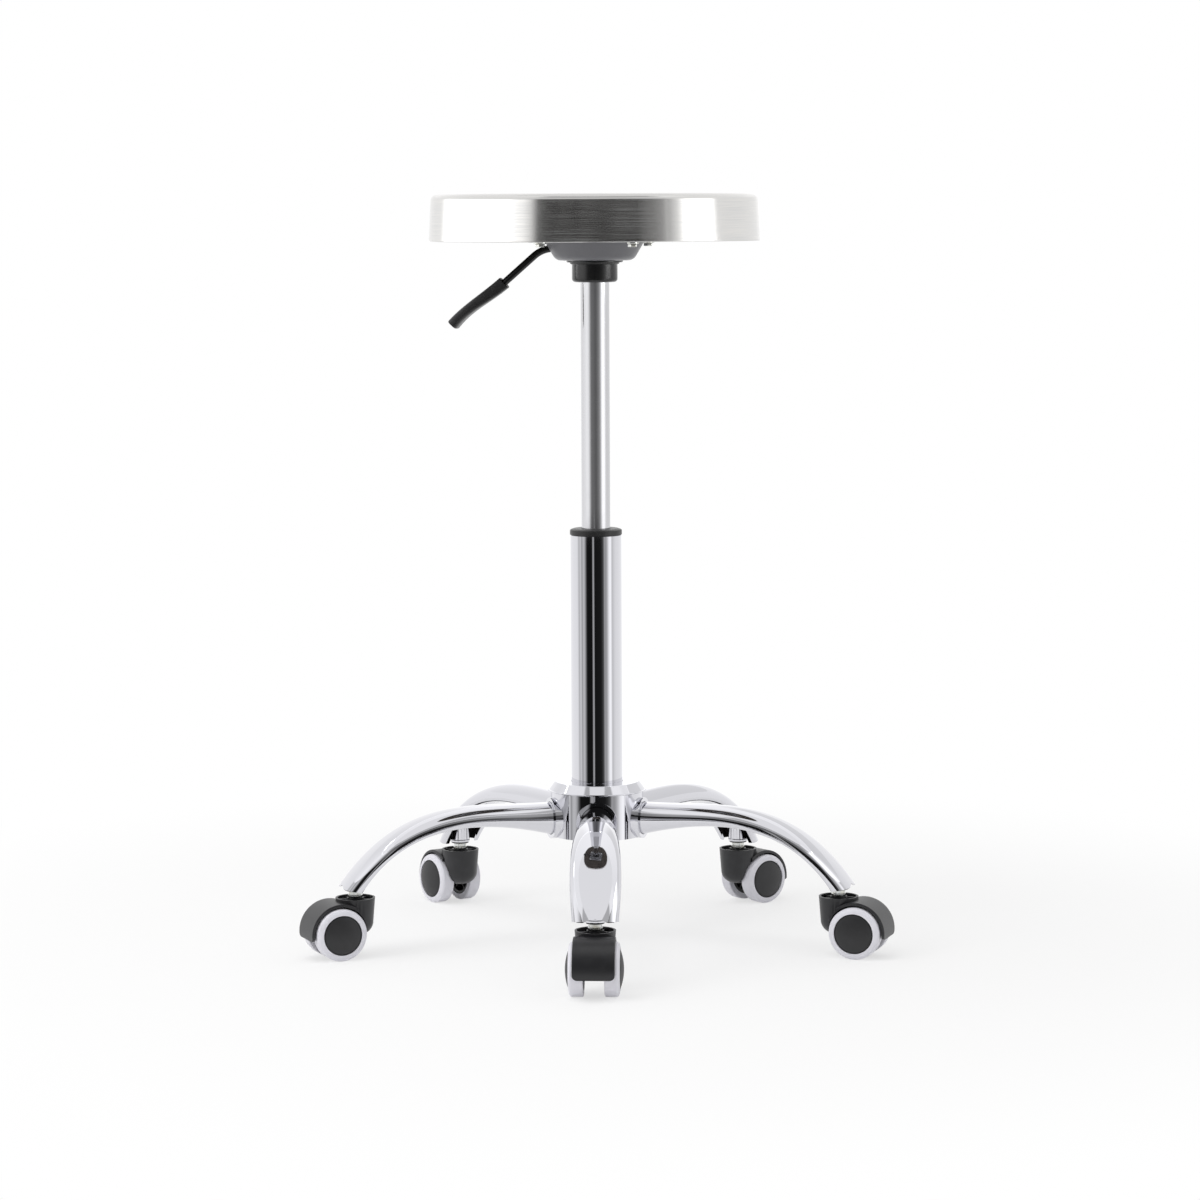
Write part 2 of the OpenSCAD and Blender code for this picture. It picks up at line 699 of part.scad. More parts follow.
module at_caster(i) {
    rotate([0, 0, leg_angles[i]]) translate([stem_circle_r, 0, 0])
        rotate([0, 0, caster_turns[i]]) children();
}

// Puts a solid of revolution on the axle, its z axis pointing along +Y
module on_axle() {
    translate([trail, 0, wheel_r]) rotate([-90, 0, 0]) children();
}

module hood_shape() {
    corner = 5;
    translate([3, 0, 0]) rotate([90, 0, 90]) linear_extrude(trail + hood_r) union() {
        translate([-hood_w / 2 + corner, hood_z]) square([hood_w - 2 * corner, tower_z - hood_z]);
        translate([-hood_w / 2, hood_z + corner]) square([hood_w, tower_z - hood_z - corner]);
        for (y = [-1, 1]) translate([y * (hood_w / 2 - corner), hood_z + corner])
            circle(r = corner);
    }
}

module caster_housing() {
    post_r = stem_r + 2.6;
    pocket_r = tower_r - 2;
    pocket_z = tower_foot_z + 13.5;
    color(BLACK) difference() {
        union() {
            difference() {
                rotate_extrude() polygon(concat(
                    [[0, tower_foot_z]],
                    arc([tower_r - tower_draft - tower_edge_r, tower_foot_z + tower_edge_r],
                        tower_edge_r, -90, 0, 8),
                    [[tower_r, tower_z], [0, tower_z]]));
                difference() {
                    translate([0, 0, pocket_z]) tube(pocket_r, post_r, tower_z);
                    on_axle() cylinder(r = hood_r, h = 4 * tower_r, center = true);
                    for (a = [30:60:330]) rotate([0, 0, a]) translate([0, -rib_t / 2, 0])
                        cube([tower_r, rib_t, tower_z - 1.5]);
                }
            }
            intersection() {
                on_axle() translate([0, 0, -hood_w]) tube(hood_r, wheel_space_r, 2 * hood_w);
                hood_shape();
            }
            intersection() {
                on_axle() cylinder(r = wheel_space_r + 1, h = 2 * rib_t, center = true);
                translate([8, -tower_r, wheel_r + 8]) cube([trail + hood_r, 2 * tower_r, tower_z]);
            }
            on_axle() cylinder(r = axle_r + 4.5, h = 2 * cheek, center = true);
        }
        for (side = [-1, 1]) on_axle() translate([0, 0, side * (cheek + tower_r)])
            cylinder(r = wheel_space_r, h = 2 * tower_r, center = true);
        on_axle() cylinder(r = axle_r + fit, h = 4 * tower_r, center = true);
        translate([0, 0, stem_foot - gap]) cylinder(r = stem_r + run, h = tower_z);
    }
}

axle_reach = wheel_gap / 2 + tread_w - 2;

module caster_axle() {
    color(ZINC) on_axle() cylinder(r = axle_r, h = 2 * axle_reach, center = true);
}

// Wheels are drawn with z from the inner face of the wheel outwards
module on_wheel(side) {
    mirror([0, side < 0 ? 1 : 0, 0]) on_axle() translate([0, 0, wheel_gap / 2]) children();
}

module wheel_core(side) {
    hub_wall = 4;
    rim_r = tread_in_r - fit;
    cap_r = rim_r - 1.2;
    floor_z = tread_w - 4.5;
    dome_r = (cap_r * cap_r + cap_bulge * cap_bulge) / (2 * cap_bulge);
    dome_angle = asin(cap_r / dome_r);
    bore = axle_r + run;
    color(BLACK) on_wheel(side) {
        rotate_extrude() polygon(concat(
            [[bore, 0], [bore + hub_wall, 0], [bore + hub_wall, floor_z], [rim_r - 3, floor_z],
             [rim_r - 3, 0.8], [rim_r, 0.8], [rim_r, tread_w - 1.4], [cap_r, tread_w - 1.4]],
            arc([0, tread_w + cap_bulge - dome_r], dome_r, 90 - dome_angle, 90, 8),
            [[0, axle_reach - wheel_gap / 2 + gap], [bore, axle_reach - wheel_gap / 2 + gap]]));
        for (a = [0:60:300]) rotate([0, 0, a]) translate([bore + hub_wall / 2, -0.7, 2.5])
            cube([rim_r - 2 - bore - hub_wall / 2, 1.4, floor_z - 2.4]);
    }
}

module wheel_tread(side) {
    shoulder = 3.3;
    nose = 1.2;
    color(WHITE) on_wheel(side) rotate_extrude() polygon(concat(
        [[tread_in_r, 0]],
        arc([wheel_r - nose, nose], nose, -90, 0, 4),
        [for (a = [0:15:90]) [tread_in_r + (wheel_r - tread_in_r) * cos(a),
            tread_w - shoulder + shoulder * sin(a)]]));
}

// ---- Nodes ----

seat_pan();
seat_core();
insert_nuts();
mounting_plate();
mount_bolts();
taper_socket();
lever_pivot();
lever_rod();
lever_grip();
release_pin();
pressure_tube();
rod_guide();
piston();
piston_rod();
bump_stop();
bearing_upper_race();
bearing_cage();
bearing_lower_race();
rod_clip();
column_tube();
column_bush();
hub_collar();
hub();
stem_sockets();
caster_stems();
for (i = [0:4]) {
    leg_name = str(PLACES[i], "_leg");
    caster = str(PLACES[i], "_caster_");
    leg(leg_angles[i]);
    at_caster(i) caster_housing();
    at_caster(i) caster_axle();
    at_caster(i) wheel_core(1);
    at_caster(i) wheel_tread(1);
    at_caster(i) wheel_core(-1);
    at_caster(i) wheel_tread(-1);
}
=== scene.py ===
"""Visual model of an adjustable swivel stool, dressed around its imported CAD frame.

A brushed stainless pan seat stands on a plated gas lift in a chrome column. Five stamped chrome
legs are welded to the hub and run on twin-wheel casters. Lengths are in metres, +Z is up, the
front leg points along -Y and the release lever towards -X.
"""

import json
import logging
import math
from collections.abc import Sequence
from dataclasses import dataclass, field
from enum import Enum

import bpy
from mathutils import Matrix, Vector


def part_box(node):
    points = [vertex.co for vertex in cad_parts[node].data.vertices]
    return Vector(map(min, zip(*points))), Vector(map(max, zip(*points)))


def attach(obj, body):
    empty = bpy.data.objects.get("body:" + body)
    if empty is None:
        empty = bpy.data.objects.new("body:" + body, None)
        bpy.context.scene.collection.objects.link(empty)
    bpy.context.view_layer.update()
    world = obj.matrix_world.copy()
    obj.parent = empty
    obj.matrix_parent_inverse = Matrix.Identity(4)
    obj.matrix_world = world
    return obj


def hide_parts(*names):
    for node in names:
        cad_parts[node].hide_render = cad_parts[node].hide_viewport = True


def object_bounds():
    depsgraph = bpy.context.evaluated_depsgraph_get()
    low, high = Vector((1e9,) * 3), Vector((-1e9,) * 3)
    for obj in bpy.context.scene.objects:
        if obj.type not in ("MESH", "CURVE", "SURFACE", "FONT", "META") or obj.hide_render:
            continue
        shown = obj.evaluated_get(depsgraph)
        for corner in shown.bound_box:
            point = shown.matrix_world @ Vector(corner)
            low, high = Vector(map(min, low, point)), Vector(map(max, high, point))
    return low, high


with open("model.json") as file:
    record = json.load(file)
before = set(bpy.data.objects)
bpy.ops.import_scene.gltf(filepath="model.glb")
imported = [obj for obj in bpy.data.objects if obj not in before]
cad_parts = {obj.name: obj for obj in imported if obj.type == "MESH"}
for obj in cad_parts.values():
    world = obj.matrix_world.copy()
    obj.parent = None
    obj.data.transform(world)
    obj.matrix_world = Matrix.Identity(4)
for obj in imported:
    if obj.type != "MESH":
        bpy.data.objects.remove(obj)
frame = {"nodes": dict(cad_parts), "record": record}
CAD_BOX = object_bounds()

LOG = logging.getLogger("stool")
MM = 0.001
WELD = 0.01 * MM
PLACES = ("front", "right", "rear_right", "rear_left", "left")
JOINTS = {joint["name"]: joint for joint in frame["record"]["behaviour"]["joints"]}
Outline = Sequence[tuple[float, float]]
Piece = bpy.types.Object
Tree = bpy.types.NodeTree
Node = bpy.types.Node
Socket = bpy.types.NodeSocket


class Cut(Enum):
    """How one solid is combined with another."""

    AWAY = "DIFFERENCE"
    ADD = "UNION"
    KEEP = "INTERSECT"


class Side(Enum):
    """The two wheels of a caster, by the sign of the side that each is on."""

    LEFT = 1
    RIGHT = -1


# ---- Bench: selection, outlines, revolves and lofts ----


def put_down() -> None:
    """Leaves edit mode and selects nothing."""
    active = bpy.context.view_layer.objects.active
    if active is not None and active.mode != "OBJECT":
        bpy.ops.object.mode_set(mode="OBJECT")
    bpy.ops.object.select_all(action="DESELECT")


def pick_up(piece: Piece) -> None:
    """Selects one piece alone and makes it the active one."""
    put_down()
    piece.select_set(True)
    bpy.context.view_layer.objects.active = piece


def edit_all(piece: Piece) -> None:
    """Opens a piece in edit mode with its whole mesh selected."""
    pick_up(piece)
    bpy.ops.object.mode_set(mode="EDIT")
    bpy.ops.mesh.select_all(action="SELECT")


def close_skin() -> None:
    """Merges the doubles of the mesh in edit mode, turns its faces outwards and leaves edit mode."""
    bpy.ops.mesh.select_all(action="SELECT")
    bpy.ops.mesh.remove_doubles(threshold=WELD)
    bpy.ops.mesh.normals_make_consistent(inside=False)
    bpy.ops.object.mode_set(mode="OBJECT")


def apply_modifier(piece: Piece, kind: str, **settings: object) -> None:
    """Adds one modifier with its settings and applies it.

    Args:
        piece: The object that takes it.
        kind: The modifier's type, such as "BEVEL".
        **settings: The modifier's properties by name.
    """
    modifier = piece.modifiers.new(kind.title(), kind)
    for name, value in settings.items():
        setattr(modifier, name, value)
    pick_up(piece)
    bpy.ops.object.modifier_apply(modifier=modifier.name)


def combine(piece: Piece, how: Cut, *others: Piece) -> Piece:
    """Cuts solids out of a piece, adds them to it or keeps what they share, and uses them up.

    Args:
        piece: The solid that stays.
        how: What is done with the others.
        *others: The solids that are used up.

    Returns:
        The changed piece.
    """
    for other in others:
        apply_modifier(piece, "BOOLEAN", operation=how.value, object=other, solver="EXACT")
        bpy.data.objects.remove(other, do_unlink=True)
    return piece


def arc(centre: tuple[float, float], radius: float, start: float, end: float, steps: int = 8) -> list:
    """Points of an arc in an outline.

    Args:
        centre: Its centre.
        radius: Its radius.
        start: Its first angle in degrees.
        end: Its last angle in degrees.
        steps: How many straight lines it has.

    Returns:
        The points from the first angle to the last.
    """
    angles = [math.radians(start + (end - start) * i / steps) for i in range(steps + 1)]
    return [(centre[0] + radius * math.cos(a), centre[1] + radius * math.sin(a)) for a in angles]


def bezier(points: Outline, t: float) -> tuple[float, float]:
    """The point at t, from 0 to 1, on a cubic curve with four control points."""
    weights = ((1 - t) ** 3, 3 * t * (1 - t) ** 2, 3 * t * t * (1 - t), t**3)
    return tuple(sum(w * p[k] for w, p in zip(weights, points)) for k in (0, 1))


def draw(name: str, outline: Outline, closed: bool) -> Piece:
    """Draws an outline in the XZ plane by extruding one point along it, and stays in edit mode.

    Args:
        name: The new piece's name.
        outline: Its points as (x, z).
        closed: Whether the last point joins the first.

    Returns:
        The piece, open in edit mode.
    """
    points = [Vector((x, 0.0, z)) for x, z in outline]
    if closed:
        points.append(points[0])
    put_down()
    bpy.ops.mesh.primitive_plane_add(size=MM)
    piece = bpy.context.object
    piece.name = name
    bpy.ops.object.mode_set(mode="EDIT")
    bpy.ops.mesh.select_all(action="SELECT")
    bpy.ops.mesh.merge(type="CENTER")
    bpy.ops.transform.translate(value=points[0])
    for here, there in zip(points, points[1:]):
        bpy.ops.mesh.extrude_vertices_move(TRANSFORM_OT_translate={"value": there - here})
    bpy.ops.mesh.select_all(action="SELECT")
    bpy.ops.mesh.remove_doubles(threshold=WELD)
    return piece


def revolve(name: str, outline: Outline, closed: bool = False, steps: int = 96) -> Piece:
    """Spins a half-section (radius, height) once round the Z axis.

    Args:
        name: The new piece's name.
        outline: The half-section's points.
        closed: Whether its last point joins its first, as for a ring or a tube.
        steps: How many steps a full turn has.

    Returns:
        The new piece.
    """
    piece = draw(name, outline, closed)
    bpy.ops.mesh.select_all(action="SELECT")
    bpy.ops.mesh.spin(steps=steps, angle=math.tau, center=(0, 0, 0), axis=(0, 0, 1), use_auto_merge=True)
    close_skin()
    return piece


def extrude_outline(name: str, outline: Outline, width: float) -> Piece:
    """Makes a prism of an outline in the XZ plane, centred on it.

    Args:
        name: The new piece's name.
        outline: Its points as (x, z).
        width: The prism's width along Y.

    Returns:
        The new piece.
    """
    piece = draw(name, outline, closed=True)
    bpy.ops.mesh.select_all(action="SELECT")
    bpy.ops.mesh.edge_face_add()
    bpy.ops.transform.translate(value=(0, -width / 2, 0))
    bpy.ops.mesh.extrude_region_move(TRANSFORM_OT_translate={"value": (0, width, 0)})
    close_skin()
    return piece


def rod(
    name: str, radius: float, length: float, centre: Vector, axis: str = "Z", sides: int = 64
) -> Piece:
    """A plain round bar, used as a cutter or as a core that is shaped further.

    Args:
        name: The new piece's name.
        radius: Its radius.
        length: Its length.
        centre: Its middle.
        axis: The axis that it lies along.
        sides: How many sides it has.

    Returns:
        The new piece.
    """
    turn = {"X": (0, math.pi / 2, 0), "Y": (math.pi / 2, 0, 0), "Z": (0, 0, 0)}[axis]
    put_down()
    bpy.ops.mesh.primitive_cylinder_add(
        vertices=sides, radius=radius, depth=length, location=centre, rotation=turn
    )
    piece = bpy.context.object
    piece.name = name
    settle(piece)
    return piece


def block(name: str, low: Vector, high: Vector) -> Piece:
    """A plain block between two corners, used as a cutter or as a core that is shaped further."""
    put_down()
    bpy.ops.mesh.primitive_cube_add(size=1, location=(low + high) / 2)
    piece = bpy.context.object
    piece.name = name
    piece.scale = high - low
    settle(piece)
    return piece


def settle(piece: Piece, place: Matrix | None = None) -> Piece:
    """Moves a piece to its place and leaves its object at the origin, unturned and unscaled.

    Args:
        piece: The piece to place.
        place: Where it goes, or None to keep it where it is.

    Returns:
        The same piece.
    """
    if place is not None:
        piece.matrix_world = place @ piece.matrix_world
    pick_up(piece)
    bpy.ops.object.transform_apply(location=True, rotation=True, scale=True)
    return piece


def copy_of(piece: Piece, name: str, place: Matrix) -> Piece:
    """Copies a piece with a mesh of its own and puts the copy in its place."""
    pick_up(piece)
    bpy.ops.object.duplicate(linked=False)
    copy = bpy.context.object
    copy.name = name
    return settle(copy, place)


def join(pieces: Sequence[Piece], name: str) -> Piece:
    """Joins separate solids into one piece."""
    put_down()
    for piece in pieces:
        piece.select_set(True)
    bpy.context.view_layer.objects.active = pieces[0]
    bpy.ops.object.join()
    joined = bpy.context.object
    joined.name = name
    return joined


def smooth(piece: Piece, crease: float = 32.0) -> Piece:
    """Shades a piece smooth up to an angle in degrees, and keeps its flat faces flat."""
    pick_up(piece)
    bpy.ops.object.shade_smooth_by_angle(angle=math.radians(crease))
    apply_modifier(piece, "WEIGHTED_NORMAL", mode="FACE_AREA", weight=60, keep_sharp=True)
    return piece


def soften(piece: Piece, radius: float, steps: int = 2, crease: float = 32.0) -> Piece:
    """Rounds a piece's sharp edges.

    Args:
        piece: The piece.
        radius: How far each edge is cut back.
        steps: How many faces round each edge.
        crease: Edges sharper than this angle in degrees are rounded.

    Returns:
        The same piece.
    """
    apply_modifier(
        piece, "BEVEL", width=radius, segments=steps, limit_method="ANGLE",
        angle_limit=math.radians(crease), use_clamp_overlap=True, miter_outer="MITER_ARC",
    )
    return piece


@dataclass
class Section:
    """One closed ring of a loft, a superellipse square to the loft's run.

    Attributes:
        centre: Its middle.
        up: The direction of its height.
        half_width: Half its size along Y.
        half_height: Half its size along up.
        power: 2 for an ellipse, and more for squarer corners.
        sag: How far the widest place lies below the middle, as a share of half the height.
    """

    centre: Vector
    up: Vector
    half_width: float
    half_height: float
    power: float = 2.0
    sag: float = 0.0

    def place(self) -> Matrix:
        """Where the ring goes, from a unit ring in the XY plane."""
        side = Vector((0, 1, 0))
        up = self.up.normalized()
        axes = Matrix((side * self.half_width, up * self.half_height, side.cross(up))).transposed()
        return Matrix.Translation(self.centre) @ axes.to_4x4()


def loft(name: str, sections: Sequence[Section], corner_steps: int = 10) -> Piece:
    """Bridges a row of rings, each a plane whose corners are bevelled into a superellipse.

    Args:
        name: The new piece's name.
        sections: The rings from one end to the other.
        corner_steps: How many edges a quarter of a ring has.

    Returns:
        The new piece, open at both ends.
    """
    rings = []
    for section in sections:
        put_down()
        bpy.ops.mesh.primitive_plane_add(size=2)
        ring = bpy.context.object
        bpy.ops.object.mode_set(mode="EDIT")
        bpy.ops.mesh.select_all(action="SELECT")
        bpy.ops.mesh.bevel(
            affect="VERTICES", offset_type="PERCENT", offset_pct=50,
            segments=corner_steps, profile=2 ** (-2 / section.power),
        )
        bpy.ops.mesh.select_all(action="SELECT")
        bpy.ops.mesh.delete(type="ONLY_FACE")
        bpy.ops.object.mode_set(mode="OBJECT")
        for vertex in ring.data.vertices:
            vertex.co.y -= section.sag * (1 - vertex.co.y**2)
        ring.matrix_world = section.place()
        rings.append(ring)
    put_down()
    for ring in rings:
        ring.select_set(True)
    bpy.context.view_layer.objects.active = rings[0]
    bpy.ops.object.join()
    piece = bpy.context.object
    piece.name = name
    settle(piece)
    edit_all(piece)
    bpy.ops.mesh.remove_doubles(threshold=WELD)
    bpy.ops.mesh.bridge_edge_loops(type="SINGLE")
    close_skin()
    return piece


def cap_ends(piece: Piece) -> Piece:
    """Closes every open end of a piece with a face."""
    edit_all(piece)
    bpy.ops.mesh.fill_holes(sides=0)
    close_skin()
    return piece


# ---- Finishes ----


def linear(colour: str) -> tuple[float, float, float, float]:
    """Turns an sRGB hex colour such as "#d9dadf" to the linear values that a shader takes."""
    shares = [int(colour[i : i + 2], 16) / 255 for i in (1, 3, 5)]
    values = [s / 12.92 if s <= 0.04045 else ((s + 0.055) / 1.055) ** 2.4 for s in shares]
    return (*values, 1.0)


def add_node(tree: Tree, kind: str, inputs: dict | None = None, **settings: object) -> Node:
    """Adds one node to a tree with its settings, values and links.

    Args:
        tree: The node tree.
        kind: The node's type.
        inputs: For each input, by name or number, a value or the output socket that feeds it.
        **settings: The node's properties by name.

    Returns:
        The new node.
    """
    node = tree.nodes.new(kind)
    for name, value in settings.items():
        setattr(node, name, value)
    for key, value in (inputs or {}).items():
        if isinstance(value, Socket):
            tree.links.new(value, node.inputs[key])
        else:
            node.inputs[key].default_value = value
    return node


def grain(
    tree: Tree, period: float, stretch: tuple[float, float, float] = (1, 1, 1), detail: float = 3.0
) -> Socket:
    """Noise in the piece's own coordinates.

    Args:
        tree: The node tree.
        period: The size of one grain in metres.
        stretch: How many times finer the grain is along each axis.
        detail: How many finer layers it has.

    Returns:
        The noise's value, about 0.5 on average.
    """
    where = add_node(tree, "ShaderNodeTexCoord")
    scale = tuple(s / period for s in stretch)
    scaled = add_node(tree, "ShaderNodeMapping", {"Vector": where.outputs["Object"], "Scale": scale})
    noise = add_node(
        tree, "ShaderNodeTexNoise", {"Vector": scaled.outputs["Vector"], "Scale": 1.0, "Detail": detail}
    )
    return noise.outputs["Fac"]


def spread(
    tree: Tree, value: Socket, least: float, most: float, start: float = 0.3, end: float = 0.7
) -> Socket:
    """Maps a value to a new range, by default from the one that noise mostly stays in."""
    node = add_node(
        tree, "ShaderNodeMapRange",
        {"Value": value, "From Min": start, "From Max": end, "To Min": least, "To Max": most},
    )
    return node.outputs["Result"]


def calculate(tree: Tree, operation: str, first: Socket, second: Socket | float) -> Socket:
    """Works out one value from two, such as "MULTIPLY"."""
    return add_node(tree, "ShaderNodeMath", {0: first, 1: second}, operation=operation).outputs[0]


def tint(tree: Tree, value: Socket, first: str, second: str) -> Socket:
    """Mixes two sRGB hex colours by a value from 0 to 1."""
    node = add_node(
        tree, "ShaderNodeMix", {0: value, 6: linear(first), 7: linear(second)}, data_type="RGBA"
    )
    return node.outputs[2]


def relief(tree: Tree, height: Socket, depth: float, strength: float = 1.0) -> Socket:
    """A bump of a real depth in metres, as a normal for the shader."""
    node = add_node(tree, "ShaderNodeBump", {"Height": height, "Distance": depth, "Strength": strength})
    return node.outputs["Normal"]


@dataclass(frozen=True)
class Finish:
    """A real material and how its surface was made.

    Attributes:
        name: The material's name.
        colour: Its sRGB hex colour.
        roughness: Its typical roughness.
        metallic: 1 for a metal, 0 for anything else.
    """

    name: str
    colour: str
    roughness: float
    metallic: float = 0.0

    def material(self) -> bpy.types.Material:
        """Makes the material once and returns it each time.

        Returns:
            The Blender material.
        """
        made = bpy.data.materials.get(self.name)
        if made is not None:
            return made
        made = bpy.data.materials.new(self.name)
        made.use_nodes = True
        made.diffuse_color = linear(self.colour)
        shader = made.node_tree.nodes["Principled BSDF"]
        shader.inputs["Base Color"].default_value = linear(self.colour)
        shader.inputs["Roughness"].default_value = self.roughness
        shader.inputs["Metallic"].default_value = self.metallic
        self.detail(made.node_tree, shader)
        return made

    def detail(self, tree: Tree, shader: Node) -> None:
        """Adds the finish's own nodes. A plain finish has none."""

    @staticmethod
    def feed(tree: Tree, shader: Node, **sockets: Socket) -> None:
        """Links values to the shader's sockets, named with _ for a space."""
        for name, value in sockets.items():
            tree.links.new(value, shader.inputs[name.replace("_", " ")])


@dataclass(frozen=True)
class BrushedSheet(Finish):
    """Stainless sheet brushed along its length: fine streaks that blur reflections across them.

    Attributes:
        line: Spacing of the brush lines in metres, drawn coarser than the real 0.1 mm so they show.
        run: Length of one brush line in metres.
        turn_radius: Radius of the skirt in metres, which turns an angle into a length.
        skirt_end: How far a face may turn up, as its normal's Z, before the skirt's streaks fade.
        top_start: How far it has turned up where only the top's streaks are left.
        anisotropy: How much the streaks stretch a reflection.
        streak_turn: Which way they stretch it, as a share of a full turn.
        streak_depth: Depth of the streaks in metres.
    """

    line: float = 0.45 * MM
    run: float = 60 * MM
    turn_radius: float = 160 * MM
    skirt_end: float = 0.5
    top_start: float = 0.9
    anisotropy: float = 0.9
    streak_turn: float = 0.25
    streak_depth: float = 0.012 * MM
    metallic: float = 1.0

    def detail(self, tree: Tree, shader: Node) -> None:
        """Streaks run round the skirt, and along X on the flat top."""
        where = add_node(tree, "ShaderNodeTexCoord")
        place = add_node(tree, "ShaderNodeSeparateXYZ", {0: where.outputs["Object"]})
        facing = add_node(tree, "ShaderNodeSeparateXYZ", {0: where.outputs["Normal"]})
        turn = calculate(tree, "ARCTAN2", place.outputs["Y"], place.outputs["X"])
        around = calculate(tree, "MULTIPLY", turn, self.turn_radius / self.run)
        height = calculate(tree, "MULTIPLY", place.outputs["Z"], 1 / self.line)
        skirt = add_node(tree, "ShaderNodeCombineXYZ", {"X": around, "Y": height})
        along = calculate(tree, "MULTIPLY", place.outputs["X"], 1 / self.run)
        across = calculate(tree, "MULTIPLY", place.outputs["Y"], 1 / self.line)
        top = add_node(tree, "ShaderNodeCombineXYZ", {"X": along, "Y": across})
        flat = add_node(
            tree, "ShaderNodeMapRange",
            {"Value": facing.outputs["Z"], "From Min": self.skirt_end, "From Max": self.top_start},
        )
        lines = add_node(tree, "ShaderNodeMix", data_type="VECTOR")
        tree.links.new(flat.outputs["Result"], lines.inputs["Factor"])
        tree.links.new(skirt.outputs[0], lines.inputs[4])
        tree.links.new(top.outputs[0], lines.inputs[5])
        streak = add_node(
            tree, "ShaderNodeTexNoise", {"Vector": lines.outputs[1], "Scale": 1.0, "Detail": 2.0}
        )
        value = streak.outputs["Fac"]
        shader.inputs["Anisotropic"].default_value = self.anisotropy
        shader.inputs["Anisotropic Rotation"].default_value = self.streak_turn
        tangent = add_node(tree, "ShaderNodeTangent", direction_type="RADIAL", axis="Z")
        self.feed(
            tree, shader,
            Base_Color=tint(tree, spread(tree, value, 0, 1), self.colour, "#cdcdcd"),
            Roughness=spread(tree, value, self.roughness - 0.05, self.roughness + 0.07),
            Normal=relief(tree, value, self.streak_depth, 0.35),
            Tangent=tangent.outputs["Tangent"],
        )


@dataclass(frozen=True)
class ChromePlate(Finish):
    """Bright chrome over polished steel: a mirror with the slow ripple of stamped, polished sheet.

    Attributes:
        ripple: Size of the ripple in metres.
        ripple_depth: Depth of the ripple in metres.
    """

    metallic: float = 1.0
    ripple: float = 45 * MM
    ripple_depth: float = 0.05 * MM

    def detail(self, tree: Tree, shader: Node) -> None:
        """A slow ripple, and a trace of haze from handling."""
        haze = grain(tree, 18 * MM, detail=4)
        wave = grain(tree, self.ripple, detail=1)
        self.feed(
            tree, shader,
            Roughness=spread(tree, haze, self.roughness * 0.6, self.roughness * 1.6),
            Normal=relief(tree, wave, self.ripple_depth),
        )


@dataclass(frozen=True)
class DrawnMetal(Finish):
    """Ground or plated bar and tube: satin, with fine marks round it.

    Attributes:
        mark: Spacing of the grinding marks along Z in metres.
    """

    metallic: float = 1.0
    mark: float = 0.6 * MM

    def detail(self, tree: Tree, shader: Node) -> None:
        """Fine marks round the bar and slow cloudiness in the gloss."""
        marks = grain(tree, self.mark, (0.05, 0.05, 1.0), detail=2)
        cloud = grain(tree, 14 * MM)
        self.feed(
            tree, shader,
            Roughness=spread(tree, cloud, self.roughness * 0.75, self.roughness * 1.3),
            Normal=relief(tree, marks, 0.004 * MM, 0.5),
        )


@dataclass(frozen=True)
class ZincPlate(Finish):
    """Zinc plate, blue passivated: pale grey metal with cloudy patches of blue and straw.

    Attributes:
        cloud: Size of the patches in metres.
        warm: The straw patches' sRGB hex colour.
    """

    metallic: float = 1.0
    cloud: float = 4 * MM
    warm: str = "#cfccc0"

    def detail(self, tree: Tree, shader: Node) -> None:
        """Cloudy colour and a rough spangle."""
        patch = grain(tree, self.cloud, detail=4)
        spangle = grain(tree, 0.8 * MM)
        self.feed(
            tree, shader,
            Base_Color=tint(tree, spread(tree, patch, 0, 1), self.colour, self.warm),
            Roughness=spread(tree, patch, self.roughness * 0.8, self.roughness * 1.3),
            Normal=relief(tree, spangle, 0.01 * MM, 0.6),
        )


@dataclass(frozen=True)
class Paint(Finish):
    """Stoved paint on steel: an even film with orange peel.

    Attributes:
        peel: Size of the orange peel in metres.
        peel_depth: Its depth in metres.
    """

    peel: float = 1.4 * MM
    peel_depth: float = 0.02 * MM

    def detail(self, tree: Tree, shader: Node) -> None:
        """Orange peel in the film, and gloss that varies a little."""
        cloud = grain(tree, 9 * MM)
        peel = grain(tree, self.peel, detail=1)
        self.feed(
            tree, shader,
            Roughness=spread(tree, cloud, self.roughness * 0.85, self.roughness * 1.2),
            Normal=relief(tree, peel, self.peel_depth),
        )


@dataclass(frozen=True)
class Moulded(Finish):
    """Moulded plastic with a spark-eroded texture: a soft sheen broken by fine grain.

    Attributes:
        texture: Size of the moulded grain in metres, drawn a little coarse so it shows.
        depth: Its depth in metres.
        worn: The sRGB hex colour where the grain is rubbed.
    """

    texture: float = 0.5 * MM
    depth: float = 0.02 * MM
    worn: str = "#3a3a3d"

    def detail(self, tree: Tree, shader: Node) -> None:
        """Fine grain, and slow patches of rubbed colour and gloss."""
        fine = grain(tree, self.texture, detail=2)
        slow = grain(tree, 8 * MM, detail=4)
        self.feed(
            tree, shader,
            Base_Color=tint(tree, spread(tree, slow, 0, 0.5, 0.45, 0.75), self.colour, self.worn),
            Roughness=spread(tree, fine, self.roughness * 0.88, self.roughness * 1.14),
            Normal=relief(tree, fine, self.depth),
        )


@dataclass(frozen=True)
class Board(Finish):
    """Stained particle board: matt, with chips a few millimetres across.

    Attributes:
        chip: Size of a chip in metres.
        pale: The paler chips' sRGB hex colour.
    """

    chip: float = 3 * MM
    pale: str = "#4a423b"

    def detail(self, tree: Tree, shader: Node) -> None:
        """Chips of two tones with a slight relief."""
        chips = grain(tree, self.chip, detail=5)
        self.feed(
            tree, shader,
            Base_Color=tint(tree, spread(tree, chips, 0, 1), self.colour, self.pale),
            Normal=relief(tree, chips, 0.15 * MM),
        )


